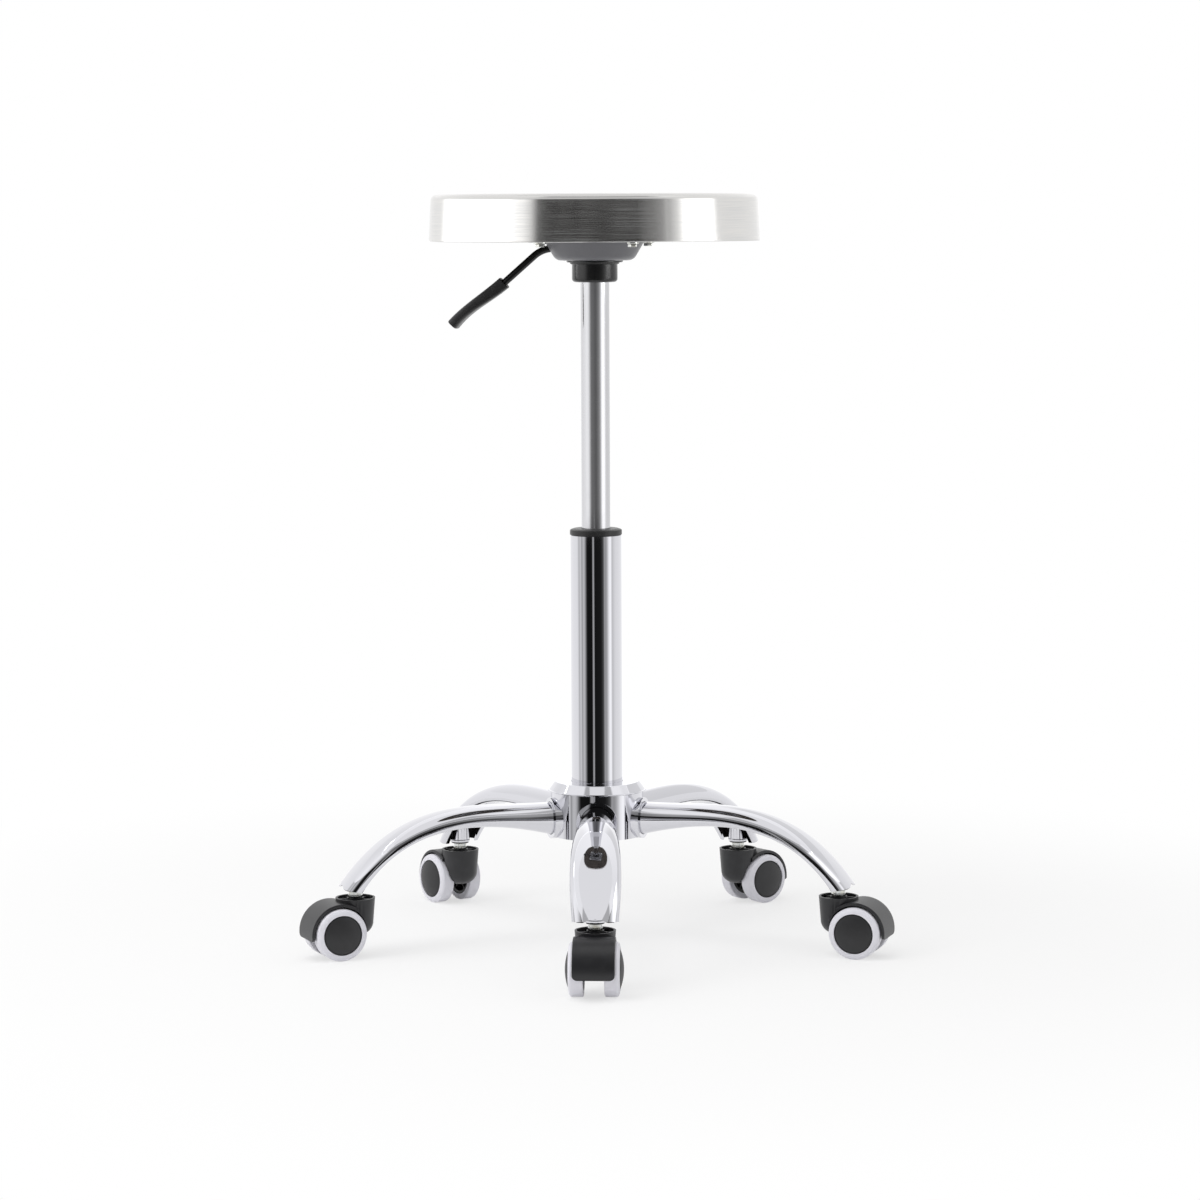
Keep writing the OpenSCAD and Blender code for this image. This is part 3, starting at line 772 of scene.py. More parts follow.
@dataclass(frozen=True)
class StudioPaper(Finish):
    """Matt white paper under the stool, which turns to plain white away from it.

    Attributes:
        near: Radius in metres up to which the paper keeps its shadows.
        far: Radius from which it is plain white.
        lift: How white it already is under the stool.
        white: Strength of the plain white.
    """

    near: float = 0.4
    far: float = 1.0
    lift: float = 0.62
    white: float = 1.0

    def detail(self, tree: Tree, shader: Node) -> None:
        """Mixes the paper with plain white, by the distance from the stool, for rays that show it."""
        shader.inputs["Specular IOR Level"].default_value = 0.0
        where = add_node(tree, "ShaderNodeTexCoord")
        reach = add_node(tree, "ShaderNodeVectorMath", {0: where.outputs["Object"]}, operation="LENGTH")
        fade = add_node(
            tree, "ShaderNodeMapRange",
            {"Value": reach.outputs["Value"], "From Min": self.near, "From Max": self.far,
             "To Min": self.lift},
            interpolation_type="SMOOTHSTEP",
        )
        share = calculate(tree, "MULTIPLY", fade.outputs["Result"], seen_ray(tree))
        white = add_node(tree, "ShaderNodeEmission", {"Strength": self.white})
        mix = add_node(
            tree, "ShaderNodeMixShader", {0: share, 1: shader.outputs[0], 2: white.outputs[0]}
        )
        tree.links.new(mix.outputs[0], tree.nodes["Material Output"].inputs["Surface"])


def seen_ray(tree: Tree) -> Socket:
    """1 for the rays that show a surface: from the camera, in a mirror or through glass."""
    path = add_node(tree, "ShaderNodeLightPath")
    seen = path.outputs["Is Camera Ray"]
    for ray in ("Is Glossy Ray", "Is Transmission Ray"):
        seen = calculate(tree, "MAXIMUM", seen, path.outputs[ray])
    return seen


class Finishes:
    """The finishes of this stool, each made once."""

    # Brushed stainless sheet: the eye reads soft vertical bands of reflected light and fine streaks
    pan = BrushedSheet("brushed_stainless", "#dbd9d6", 0.13)
    # Bright chrome plate: the eye reads a hard, slightly cold mirror
    chrome = ChromePlate("chrome_plate", "#d9d9de", 0.03)
    # Hard-chromed pressure tube, ground: a satin mirror
    tube = DrawnMetal("ground_chromed_tube", "#d6d6d9", 0.13)
    # Bare ground steel inside the gas lift
    steel = DrawnMetal("ground_steel", "#8f9195", 0.28)
    # Painted shade on the legs' inner wall: a dull, near-black steel colour that stands in for the shadow
    # inside the hollow sheet
    leg_inside_shade = DrawnMetal("painted_shade_leg_inside", "#2e2b2a", 0.5)
    # Blue-passivated zinc plate on bolts, stems and axles
    zinc = ZincPlate("zinc_plate", "#d0d4d6", 0.16)
    # Turned brass of the ball cage
    brass = DrawnMetal("turned_brass", "#c2a35c", 0.25)
    # Dark grey stoved paint on the pressed plate: a soft broad sheen
    plate = Paint("grey_stoved_paint", "#68686c", 0.34)
    # Black stoved paint on the socket: dark with a satin highlight
    socket = Paint("black_stoved_paint", "#161617", 0.2)
    # Gloss black paint on the lever rod: a dark bar with a hard bright line
    rod = Paint("black_gloss_paint", "#070707", 0.2, peel_depth=0.008 * MM)
    # Black polypropylene grip and bush
    grip = Moulded("black_moulded_grip", "#1c1c1d", 0.4, worn="#2b2b2c")
    # Black nylon of the caster housings: a grey sheen where it faces the light
    housing = Moulded("black_moulded_nylon", "#1e1e21", 0.38, worn="#29292c")
    # Black polypropylene wheel caps: matt, almost even
    cap = Moulded("black_moulded_wheel", "#222224", 0.5, worn="#2a2a2d")
    # Pale polyurethane tread: soft white with a cool shade
    tread = Moulded("white_polyurethane", "#e4e3ea", 0.42, texture=1.2 * MM, depth=0.01 * MM, worn="#dddce4")
    # Closed-cell rubber of the bump stop
    bumper = Moulded("black_rubber", "#1d1d1d", 0.7, worn="#2a2a2a")
    # White background paper: the eye reads only the stool's soft shadows on it
    paper = StudioPaper("studio_paper", "#fbfbfb", 1.0)
    # Stained board that fills the pan
    board = Board("stained_board", "#2b2724", 0.8)


def hand_over(piece: Piece, body: str, finish: Finish, nodes: Sequence[str] = ()) -> None:
    """Dresses a finished piece and hangs it on its CAD body.

    Args:
        piece: The finished piece.
        body: The CAD body that carries it.
        finish: Its finish.
        nodes: The CAD nodes that it stands for.
    """
    if not piece.data.materials:
        piece.data.materials.append(finish.material())
    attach(piece, body)
    if nodes:
        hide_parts(*nodes)
    LOG.info("%s: %d faces on %s", piece.name, len(piece.data.polygons), body)


def dress_node(node: str, finish: Finish) -> None:
    """Gives a CAD node that stays in view its finish."""
    for slot in frame["nodes"][node].material_slots:
        slot.material = finish.material()
    LOG.info("%s: CAD node in %s", node, finish.name)


def low(node: str) -> Vector:
    """The lowest corner of a CAD node at rest."""
    return Vector(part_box(node)[0])


def high(node: str) -> Vector:
    """The highest corner of a CAD node at rest."""
    return Vector(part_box(node)[1])


# ---- Seat, plate, socket and lever ----


def seat_turn() -> Matrix:
    """How far the plate and the lever are turned about the column, from the lever's own axis."""
    axis = JOINTS["lever_lift"]["axis"]
    return Matrix.Rotation(-math.atan2(axis[0], axis[1]), 4, "Z")


@dataclass
class Seat:
    """The pan pressed from brushed sheet, with its hem folded in under the board.

    Attributes:
        wall: Sheet thickness.
        edge: Radius of the top edge.
        hem: Width of the hem.
        draft: How far the skirt leans in.
        fold: Radius of the hem's fold.
        steps: How many steps a full turn of the pan has.
    """

    wall: float = 1 * MM
    edge: float = 6 * MM
    hem: float = 8 * MM
    draft: float = 2 * MM
    fold: float = 0.9 * MM
    steps: int = 192

    def build(self) -> None:
        """Builds the pan and dresses the board under it."""
        radius, foot, top = high("seat_pan").x, low("seat_pan").z, high("seat_pan").z
        rim = radius - self.draft
        fold = self.fold
        outer = [
            *arc((radius - fold, foot + fold), fold, -90, 0, 4),
            *arc((rim - self.edge, top - self.edge), self.edge, 3, 90, 12),
            (rim * 0.8, top), (rim * 0.4, top), (0, top),
        ]
        inner = [
            (0, top - self.wall), (rim * 0.8, top - self.wall),
            *arc((rim - self.edge, top - self.edge), self.edge - self.wall, 90, 0, 8),
            (radius - self.wall, foot + self.wall), (radius - self.hem, foot + self.wall),
            (radius - self.hem, foot),
        ]
        pan = revolve("seat_pan_sheet", [*outer, *inner], closed=True, steps=self.steps)
        hand_over(smooth(pan), "seat", Finishes.pan, ["seat_pan"])
        dress_node("seat_core", Finishes.board)
        dress_node("insert_nuts", Finishes.zinc)


@dataclass
class MountingPlate:
    """The pressed plate with its dish and the ears of the lever's pivot.

    Attributes:
        wall: Sheet thickness.
        corner: Radius of the plate's corners.
        dish: Radius of the dish where it leaves the plate.
        depth: Depth of the dish.
        slope: Slope of the dish's wall in degrees.
        edge: Radius between the dish's wall and floor.
        neck: Radius of the hole for the socket's neck.
        half: Half the width of the square plate.
        pitch: Distance of each bolt from the plate's middle lines.
        slot: Half the width of the lever's slot, and how far it reaches below the pivot.
        ear: Radius of an ear, and half its width.
        ear_t: Thickness of an ear.
        ear_offset: Distance of an ear's middle from the lever's.
        pin_bore: Radius of the pin's hole in an ear.
        hexagon: Radius of a bolt's head over its corners.
    """

    wall: float = 2 * MM
    corner: float = 12 * MM
    dish: float = 47.5 * MM
    depth: float = 17.5 * MM
    slope: float = 60
    edge: float = 9 * MM
    neck: float = 17.55 * MM
    half: float = 56 * MM
    pitch: float = 44.5 * MM
    slot: float = 4.5 * MM
    ear: float = 5 * MM
    ear_t: float = 2 * MM
    ear_offset: float = 5.3 * MM
    pin_bore: float = 2.05 * MM
    hexagon: float = 4.65 * MM

    def wall_points(self, inset: float, floor: float) -> list:
        """Outline of the dish from its floor to its rim.

        Args:
            inset: How far inside the outer skin it lies.
            floor: Height of the dish's underside.

        Returns:
            The points from the floor outwards.
        """
        lean = math.radians(self.slope)
        turn = self.dish - (self.depth - self.edge * (1 - math.cos(lean))) / math.tan(lean)
        turn -= self.edge * math.sin(lean)
        return [
            *arc((turn, floor + self.edge), self.edge - inset, -90, self.slope - 90),
            (self.dish - inset / math.sin(lean), floor + self.depth),
        ]

    def build(self) -> None:
        """Builds the plate with its dish and ears, and its four bolts."""
        floor, top = low("mounting_plate").z, high("mounting_plate").z
        turn = seat_turn()
        put_down()
        bpy.ops.mesh.primitive_plane_add(size=2 * self.half, location=(0, 0, top - self.wall))
        plate = bpy.context.object
        plate.name = "mounting_plate_pressing"
        settle(plate)
        edit_all(plate)
        bpy.ops.mesh.bevel(affect="VERTICES", offset=self.corner, segments=8, profile=0.5)
        bpy.ops.mesh.select_all(action="SELECT")
        bpy.ops.mesh.extrude_region_move(TRANSFORM_OT_translate={"value": (0, 0, self.wall)})
        close_skin()
        hole = rod("hole", self.dish - self.wall, 4 * self.wall, Vector((0, 0, top - self.wall / 2)))
        combine(plate, Cut.AWAY, hole)
        outer, inner = self.wall_points(0, floor), self.wall_points(self.wall, floor)
        rim = top - self.wall * 0.4
        dish = revolve(
            "dish",
            [(self.neck, floor), *outer, (outer[-1][0], rim), (inner[-1][0], rim), *reversed(inner),
             (self.neck, floor + self.wall)],
            closed=True,
        )
        combine(plate, Cut.ADD, dish)
        pivot = turn.inverted() @ Vector(JOINTS["lever_lift"]["pos_m"])
        slot = block(
            "slot",
            Vector((-self.dish - 2 * MM, -self.slot, pivot.z - self.slot)),
            Vector((pivot.x - 2 * MM, self.slot, top - self.wall)),
        )
        combine(plate, Cut.AWAY, slot)
        soften(plate, 0.5 * MM)
        settle(plate, turn)
        hand_over(smooth(plate), "seat", Finishes.plate, ["mounting_plate"])
        self.build_ears(pivot, turn, floor)
        self.build_bolts(turn)

    def build_ears(self, pivot: Vector, turn: Matrix, floor: float) -> None:
        """Builds the two ears that hold the lever's pin.

        Args:
            pivot: The pin's middle, before the seat's turn.
            turn: The seat's turn.
            floor: Height of the dish's underside.
        """
        ears = []
        for side in (-1, 1):
            outline = [
                (pivot.x - self.ear, floor + self.wall / 2),
                *arc((pivot.x, pivot.z), self.ear, 180, 0, 12),
                (pivot.x + self.ear, floor + self.wall / 2),
            ]
            ear = extrude_outline("ear", outline, self.ear_t)
            settle(ear, Matrix.Translation((0, side * self.ear_offset, 0)))
            bore = rod("bore", self.pin_bore, 20 * MM, pivot, "Y", 32)
            combine(ear, Cut.AWAY, bore)
            ears.append(soften(ear, 0.3 * MM))
        pair = join(ears, "lever_pivot_ears")
        settle(pair, turn)
        hand_over(smooth(pair), "seat", Finishes.plate)
        dress_node("lever_pivot", Finishes.zinc)

    def build_bolts(self, turn: Matrix) -> None:
        """Builds the flanged hexagon bolts that hold the plate to the board.

        Args:
            turn: The seat's turn.
        """
        foot, top = low("mount_bolts").z, high("mount_bolts").z
        under = low("mounting_plate").z + self.depth
        shank, flange, flange_t = 3 * MM, 6.3 * MM, 1.3 * MM
        bolt = revolve(
            "bolt",
            [(0, top), (shank - 0.5 * MM, top), (shank, top - 0.5 * MM), (shank, under), (flange, under),
             (flange, under - flange_t * 0.6), (flange - 0.5 * MM, under - flange_t),
             (flange - 1.4 * MM, under - flange_t - 0.1 * MM), (0, under - flange_t - 0.1 * MM)],
            steps=32,
        )
        put_down()
        middle = (foot + under - flange_t) / 2
        bpy.ops.mesh.primitive_cylinder_add(
            vertices=6, radius=self.hexagon, depth=under - flange_t - foot, location=(0, 0, middle)
        )
        head = soften(settle(bpy.context.object), 0.35 * MM)
        bolt = join([bolt, head], "bolt")
        smooth(bolt)
        bolts = [
            copy_of(bolt, "bolt_copy", turn @ Matrix.Translation((x * self.pitch, y * self.pitch, 0)))
            for x in (-1, 1) for y in (-1, 1)
        ]
        bpy.data.objects.remove(bolt, do_unlink=True)
        group = join(bolts, "plate_bolts")
        hand_over(group, "seat", Finishes.zinc, ["mount_bolts"])


@dataclass
class TaperSocket:
    """The cup that grips the gas lift's taper, with its flange welded under the dish.

    Attributes:
        cup: Radius of the cup.
        edge: Radius of the cup's lower edge.
        flange_t: Thickness of the flange.
        neck: Radius of the neck inside the dish.
        bead: Radius of the weld under the flange.
        bore: Radius of the hole for the lift's taper.
        dip: Size of the weld at its ripples' dips, as a share of its size at their peaks.
    """

    cup: float = 22 * MM
    edge: float = 3.5 * MM
    flange_t: float = 1.8 * MM
    neck: float = 17.5 * MM
    bead: float = 1.5 * MM
    bore: float = 14.05 * MM
    dip: float = 0.982

    def build(self) -> None:
        """Builds the socket and its weld bead."""
        foot, top = low("taper_socket").z, high("taper_socket").z
        rim = high("taper_socket").x
        seat = low("mounting_plate").z
        under = seat - self.flange_t
        chamfer = 0.5 * MM
        socket = revolve(
            "lift_socket",
            [(self.bore, foot + 0.4 * MM), (self.bore + 0.4 * MM, foot),
             *arc((self.cup - self.edge, foot + self.edge), self.edge, -90, 0, 8),
             (self.cup, under), (rim - chamfer, under), (rim, under + chamfer), (rim, seat - chamfer),
             (rim - chamfer, seat), (self.neck, seat), (self.neck, top), (self.bore, top)],
            closed=True, steps=128,
        )
        smooth(socket)
        weld = revolve(
            "socket_weld",
            [(self.cup - 0.4 * MM, under + 0.2 * MM), (self.cup - 0.4 * MM, under - self.bead * 1.3),
             *arc((self.cup - 0.1 * MM, under + 0.1 * MM), self.bead * 1.35, -80, -5, 5)],
            closed=True, steps=180,
        )
        self.ripple(weld, under)
        smooth(weld, 60)
        piece = join([socket, weld], "lift_socket")
        hand_over(piece, "seat", Finishes.socket, ["taper_socket"])

    def ripple(self, weld: Piece, under: float) -> None:
        """Draws every third section of the weld inwards, as the stops of a weld pass.

        Args:
            weld: The bead.
            under: Height of the flange's underside.
        """
        edit_all(weld)
        bpy.ops.mesh.select_all(action="DESELECT")
        bpy.ops.object.mode_set(mode="OBJECT")
        for vertex in weld.data.vertices:
            turn = math.degrees(math.atan2(vertex.co.y, vertex.co.x)) % 6
            vertex.select = turn < 1 or turn > 5
        bpy.ops.object.mode_set(mode="EDIT")
        bpy.ops.transform.resize(value=(self.dip, self.dip, 1), center_override=(0, 0, under))
        bpy.ops.object.mode_set(mode="OBJECT")


@dataclass
class Lever:
    """The release lever: a bent rod on its pivot boss, with a moulded paddle grip.

    Attributes:
        radius: Radius of the rod.
        bend_start: Distance of the bend from the column's axis.
        bend_radius: Centre-line radius of the bend.
        slope: How steeply the arm slopes down, in degrees.
        arm: Length of bare rod between the bend and the grip.
        grip: Length of the grip.
        paddle: Width of the grip's paddle.
        inner_end: How far the rod reaches past the column's axis.
        boss_radius: Radius of the pivot boss.
        boss_length: Length of the pivot boss.
        pin_bore: Radius of the pin's hole in the boss.
    """

    radius: float = 3.5 * MM
    bend_start: float = 40.5 * MM
    bend_radius: float = 28.5 * MM
    slope: float = 41
    # arm: Length of uncovered rod between the bend and the grip.
    arm: float = 39 * MM
    grip: float = 70 * MM
    paddle: float = 25 * MM
    inner_end: float = 5 * MM
    boss_radius: float = 4.7 * MM
    boss_length: float = 8 * MM
    pin_bore: float = 2.08 * MM

    def arm_frame(self, height: float) -> Matrix:
        """The arm's own frame: Z runs down the arm, and X is square to it and points up."""
        lean = math.radians(self.slope)
        x = -self.bend_start - self.bend_radius * math.sin(lean)
        z = height - self.bend_radius * (1 - math.cos(lean))
        return Matrix.Translation((x, 0, z)) @ Matrix.Rotation(-math.pi / 2 - lean, 4, "Y")

    def build(self) -> None:
        """Builds the rod with its boss, and the grip on it."""
        height = JOINTS["lever_lift"]["pos_m"][2]
        turn = seat_turn()
        pivot = turn.inverted() @ Vector(JOINTS["lever_lift"]["pos_m"])
        arm = self.arm_frame(height)
        stations = [(Vector((self.inner_end, 0, height)), 0.0), (Vector((-self.bend_start, 0, height)), 0.0)]
        steps = 12
        for i in range(1, steps + 1):
            lean = math.radians(self.slope * i / steps)
            centre = Vector((
                -self.bend_start - self.bend_radius * math.sin(lean), 0,
                height - self.bend_radius * (1 - math.cos(lean)),
            ))
            stations.append((centre, lean))
        stations.append((arm @ Vector((0, 0, self.arm + 30 * MM)), math.radians(self.slope)))
        sections = [
            Section(centre, Vector((-math.sin(lean), 0, math.cos(lean))), self.radius, self.radius)
            for centre, lean in stations
        ]
        bar = cap_ends(loft("lever_bar", sections, corner_steps=8))
        boss = rod("boss", self.boss_radius, self.boss_length, pivot, "Y", 48)
        combine(bar, Cut.ADD, boss)
        combine(bar, Cut.AWAY, rod("pin", self.pin_bore, 3 * self.boss_length, pivot, "Y", 32))
        soften(bar, 0.25 * MM, 2, 40)
        settle(bar, turn)
        hand_over(smooth(bar, 40), "lever", Finishes.rod, ["lever_rod"])
        self.build_grip(turn @ arm @ Matrix.Translation((0, 0, self.arm)))

    def build_grip(self, place: Matrix) -> None:
        """Builds the grip: a square-ended sleeve that bends down into a wide flat paddle.

        Args:
            place: The arm's frame in the stool.
        """
        sleeve = self.radius + 2.8 * MM
        length = self.grip
        top = [
            (0, sleeve), (0.31 * length, sleeve), (0.64 * length, sleeve + 4 * MM), (length - 4 * MM, 8 * MM),
        ]
        under = [
            (0, -sleeve), (0.37 * length, -sleeve + 0.8 * MM), (0.6 * length, 1.5 * MM),
            (length - 5 * MM, -3 * MM),
        ]
        wide = [
            (0, sleeve), (0.35 * length, sleeve), (0.5 * length, self.paddle / 2 + 1.5 * MM),
            (length, self.paddle / 2 - 1 * MM),
        ]
        sections = []
        steps = 26
        for i in range(steps + 1):
            t = i / steps
            upper, lower, half = bezier(top, t), bezier(under, t), bezier(wide, t)
            centre = Vector(((upper[1] + lower[1]) / 2, 0, (upper[0] + lower[0]) / 2))
            span = Vector((upper[1] - lower[1], 0, upper[0] - lower[0]))
            sections.append(Section(centre, span, half[1], span.length / 2, 4.5 - 1.0 * t))
        grip = cap_ends(loft("lever_paddle", sections, corner_steps=8))
        soften(grip, 0.8 * MM, 3, 50)
        bore = rod("bore", self.radius + 0.05 * MM, 62 * MM, Vector((0, 0, -1 * MM)), "Z", 48)
        combine(grip, Cut.AWAY, bore)
        settle(grip, place)
        hand_over(smooth(grip, 38), "lever", Finishes.grip, ["lever_grip"])


# ---- Gas lift and column ----


@dataclass
class GasLift:
    """The pressure tube in view, and the lift's inner pieces.

    Attributes:
        wall: Wall of the pressure tube.
        taper: How much the radius shrinks along the top taper.
    """

    wall: float = 1.5 * MM
    taper: float = 0.7 * MM

    def build(self) -> None:
        """Builds the tube and dresses the pieces inside."""
        foot, top = low("pressure_tube").z, high("pressure_tube").z
        radius, socket = high("pressure_tube").x, low("taper_socket").z
        edge, bore, floor = 0.6 * MM, radius - self.wall, foot + 1.2 * MM
        mouth = bore - 3 * MM
        tube = revolve(
            "lift_tube",
            [(mouth, foot), (radius - edge, foot), (radius, foot + edge), (radius, socket),
             (radius - self.taper, top - edge), (radius - self.taper - edge, top), (mouth, top),
             (mouth, top - self.wall), (bore, top - 30 * MM), (bore, floor), (mouth, floor)],
            closed=True, steps=128,
        )
        hand_over(smooth(tube), "seat", Finishes.tube, ["pressure_tube"])
        inner = {
            "rod_guide": Finishes.grip, "piston": Finishes.steel, "piston_rod": Finishes.tube,
            "bump_stop": Finishes.bumper, "bearing_upper_race": Finishes.steel,
            "bearing_lower_race": Finishes.steel, "bearing_cage": Finishes.brass,
            "rod_clip": Finishes.zinc, "release_pin": Finishes.steel,
        }
        for node, finish in inner.items():
            dress_node(node, finish)


@dataclass
class Column:
    """The chrome column with the black bush in its mouth.

    Attributes:
        wall: Wall of the column.
        taper: How much the radius shrinks along the foot taper.
        foot_t: Thickness of the foot plate.
        foot_bore: Radius of the hole in the foot plate.
        ring: Radius of the bush's ring.
        ring_h: Height of the bush's ring.
    """

    wall: float = 2 * MM
    taper: float = 0.8 * MM
    foot_t: float = 4 * MM
    foot_bore: float = 4.1 * MM
    ring: float = 25.2 * MM
    ring_h: float = 6 * MM

    def build(self) -> None:
        """Builds the column and the bush."""
        foot, top = low("column_tube").z, high("column_tube").z
        radius = high("column_tube").x
        collar = high("hub_collar").z
        edge = 0.5 * MM
        low_r, bore = radius - self.taper, self.foot_bore
        column = revolve(
            "column_tube_chromed",
            [(bore, foot), (low_r - edge, foot), (low_r, foot + edge), (radius, collar - 2 * MM),
             (radius, top - edge), (radius - edge, top), (radius - self.wall, top),
             (radius - self.wall, collar), (low_r - self.wall, foot + self.foot_t),
             (bore, foot + self.foot_t)],
            closed=True, steps=160,
        )
        hand_over(smooth(column), "base", Finishes.chrome, ["column_tube"])
        bush_foot, bush_top = low("column_bush").z, high("column_bush").z
        inner = high("pressure_tube").x + 0.08 * MM
        liner = radius - self.wall - 0.05 * MM
        ring_foot = bush_top - self.ring_h
        bush = revolve(
            "column_bush_ring",
            [(inner, bush_foot), (liner, bush_foot), (liner, ring_foot), (self.ring - 0.3 * MM, ring_foot),
             (self.ring, ring_foot + 0.3 * MM), (self.ring, bush_top - 2.2 * MM),
             *arc((self.ring - 1.4 * MM, bush_top - 2.2 * MM), 1.4 * MM, 20, 62, 4),
             (self.ring - 3.2 * MM, bush_top - 0.1 * MM), (self.ring - 3.9 * MM, bush_top),
             (inner + 0.5 * MM, bush_top), (inner, bush_top - 0.5 * MM)],
            closed=True, steps=128,
        )
        hand_over(smooth(bush), "base", Finishes.grip, ["column_bush"])


# ---- Base ----


def leg_turns() -> dict[str, float]:
    """The direction of each leg about the column in radians, from the casters' swivel axes."""
    turns = {}
    for place in PLACES:
        x, y, _ = JOINTS[f"{place}_caster_swivel"]["pos_m"]
        turns[place] = math.atan2(y, x)
    return turns


LEG_RISE = 18 * MM  # From the hub's underside to the axis of the legs.


def leg_axis_height() -> float:
    """Height of the axis along which the legs leave the hub."""
    return low("hub").z + LEG_RISE


@dataclass
class Hub:
    """The hub tube in its can, with a welded ring for each leg, and the collar that covers them.

    Attributes:
        radius: Radius of the hub tube.
        can: Radius of the can round it.
        bore: Radius of the column's seat in it.
        ring: Radius of the welded rings.
        ring_bore: Radius of the leg's seat in a ring.
        reach: Distance from the column's axis to a ring's face.
        collar_top: Radius of the collar's flat top.
        collar_rim: Radius of the collar's rim.
        sheet: Sheet thickness of the collar.
        bead: Height and depth of the collar's rolled bead.
        seat: Distance from the column's axis to the end of a leg's seat.
    """

    radius: float = 31.5 * MM
    can: float = 45 * MM
    bore: float = 25.05 * MM
    ring: float = 19.8 * MM
    ring_bore: float = 16.1 * MM
    reach: float = 48 * MM
    collar_top: float = 41 * MM
    collar_rim: float = 48 * MM
    sheet: float = 1.5 * MM
    bead: float = 1 * MM
    seat: float = 33.5 * MM

    def build(self) -> None:
        """Builds the hub and its collar."""
        foot, top = low("hub").z, high("hub").z
        axis = leg_axis_height()
        middle = Vector((0, 0, (foot + top) / 2))
        hub = rod("hub_weldment", self.radius, top - foot, middle, sides=128)
        can_top = low("hub_collar").z - 0.1 * MM
        can = rod("can", self.can, can_top - foot, Vector((0, 0, (foot + can_top) / 2)), sides=160)
        combine(hub, Cut.ADD, can)
        for turn in leg_turns().values():
            ring = rod("ring", self.ring, self.reach, Vector((self.reach / 2, 0, axis)), "X", 80)
            combine(hub, Cut.ADD, settle(ring, Matrix.Rotation(turn, 4, "Z")))
        combine(hub, Cut.AWAY, rod("bore", self.bore, 3 * (top - foot), middle, sides=128))
        for turn in leg_turns().values():
            length = self.reach
            bore = rod("bore", self.ring_bore, length, Vector((self.seat + length / 2, 0, axis)), "X", 80)
            combine(hub, Cut.AWAY, settle(bore, Matrix.Rotation(turn, 4, "Z")))
        soften(hub, 0.9 * MM, 3, 25)
        hand_over(smooth(hub, 30), "base", Finishes.chrome, ["hub"])
        self.build_collar()

    def build_collar(self) -> None:
        """Builds the pressed collar: a flat top, a cone and a rolled bead."""
        top, foot = high("hub_collar").z, low("hub_collar").z
        inner = high("column_tube").x + 0.3 * MM
        bead, sheet = self.bead, self.sheet
        round_r = 1.2 * MM
        collar = revolve(
            "hub_collar_pressing",
            [(inner, top - sheet), (self.collar_top - 0.6 * MM, top - sheet),
             (self.collar_rim - sheet - bead, foot + bead), (self.collar_rim - sheet - bead, foot),
             (self.collar_rim - 0.3 * MM, foot), (self.collar_rim, foot + 0.3 * MM),
             (self.collar_rim, foot + bead - 0.3 * MM), (self.collar_rim - 0.3 * MM, foot + bead),
             (self.collar_rim - bead - 0.3 * MM, foot + bead + 0.2 * MM),
             *arc((self.collar_top - round_r * 0.5, top - round_r), round_r, 38, 90, 5),
             (inner + 0.4 * MM, top), (inner, top - 0.4 * MM)],
            closed=True, steps=160,
        )
        hand_over(smooth(collar, 28), "base", Finishes.chrome, ["hub_collar"])


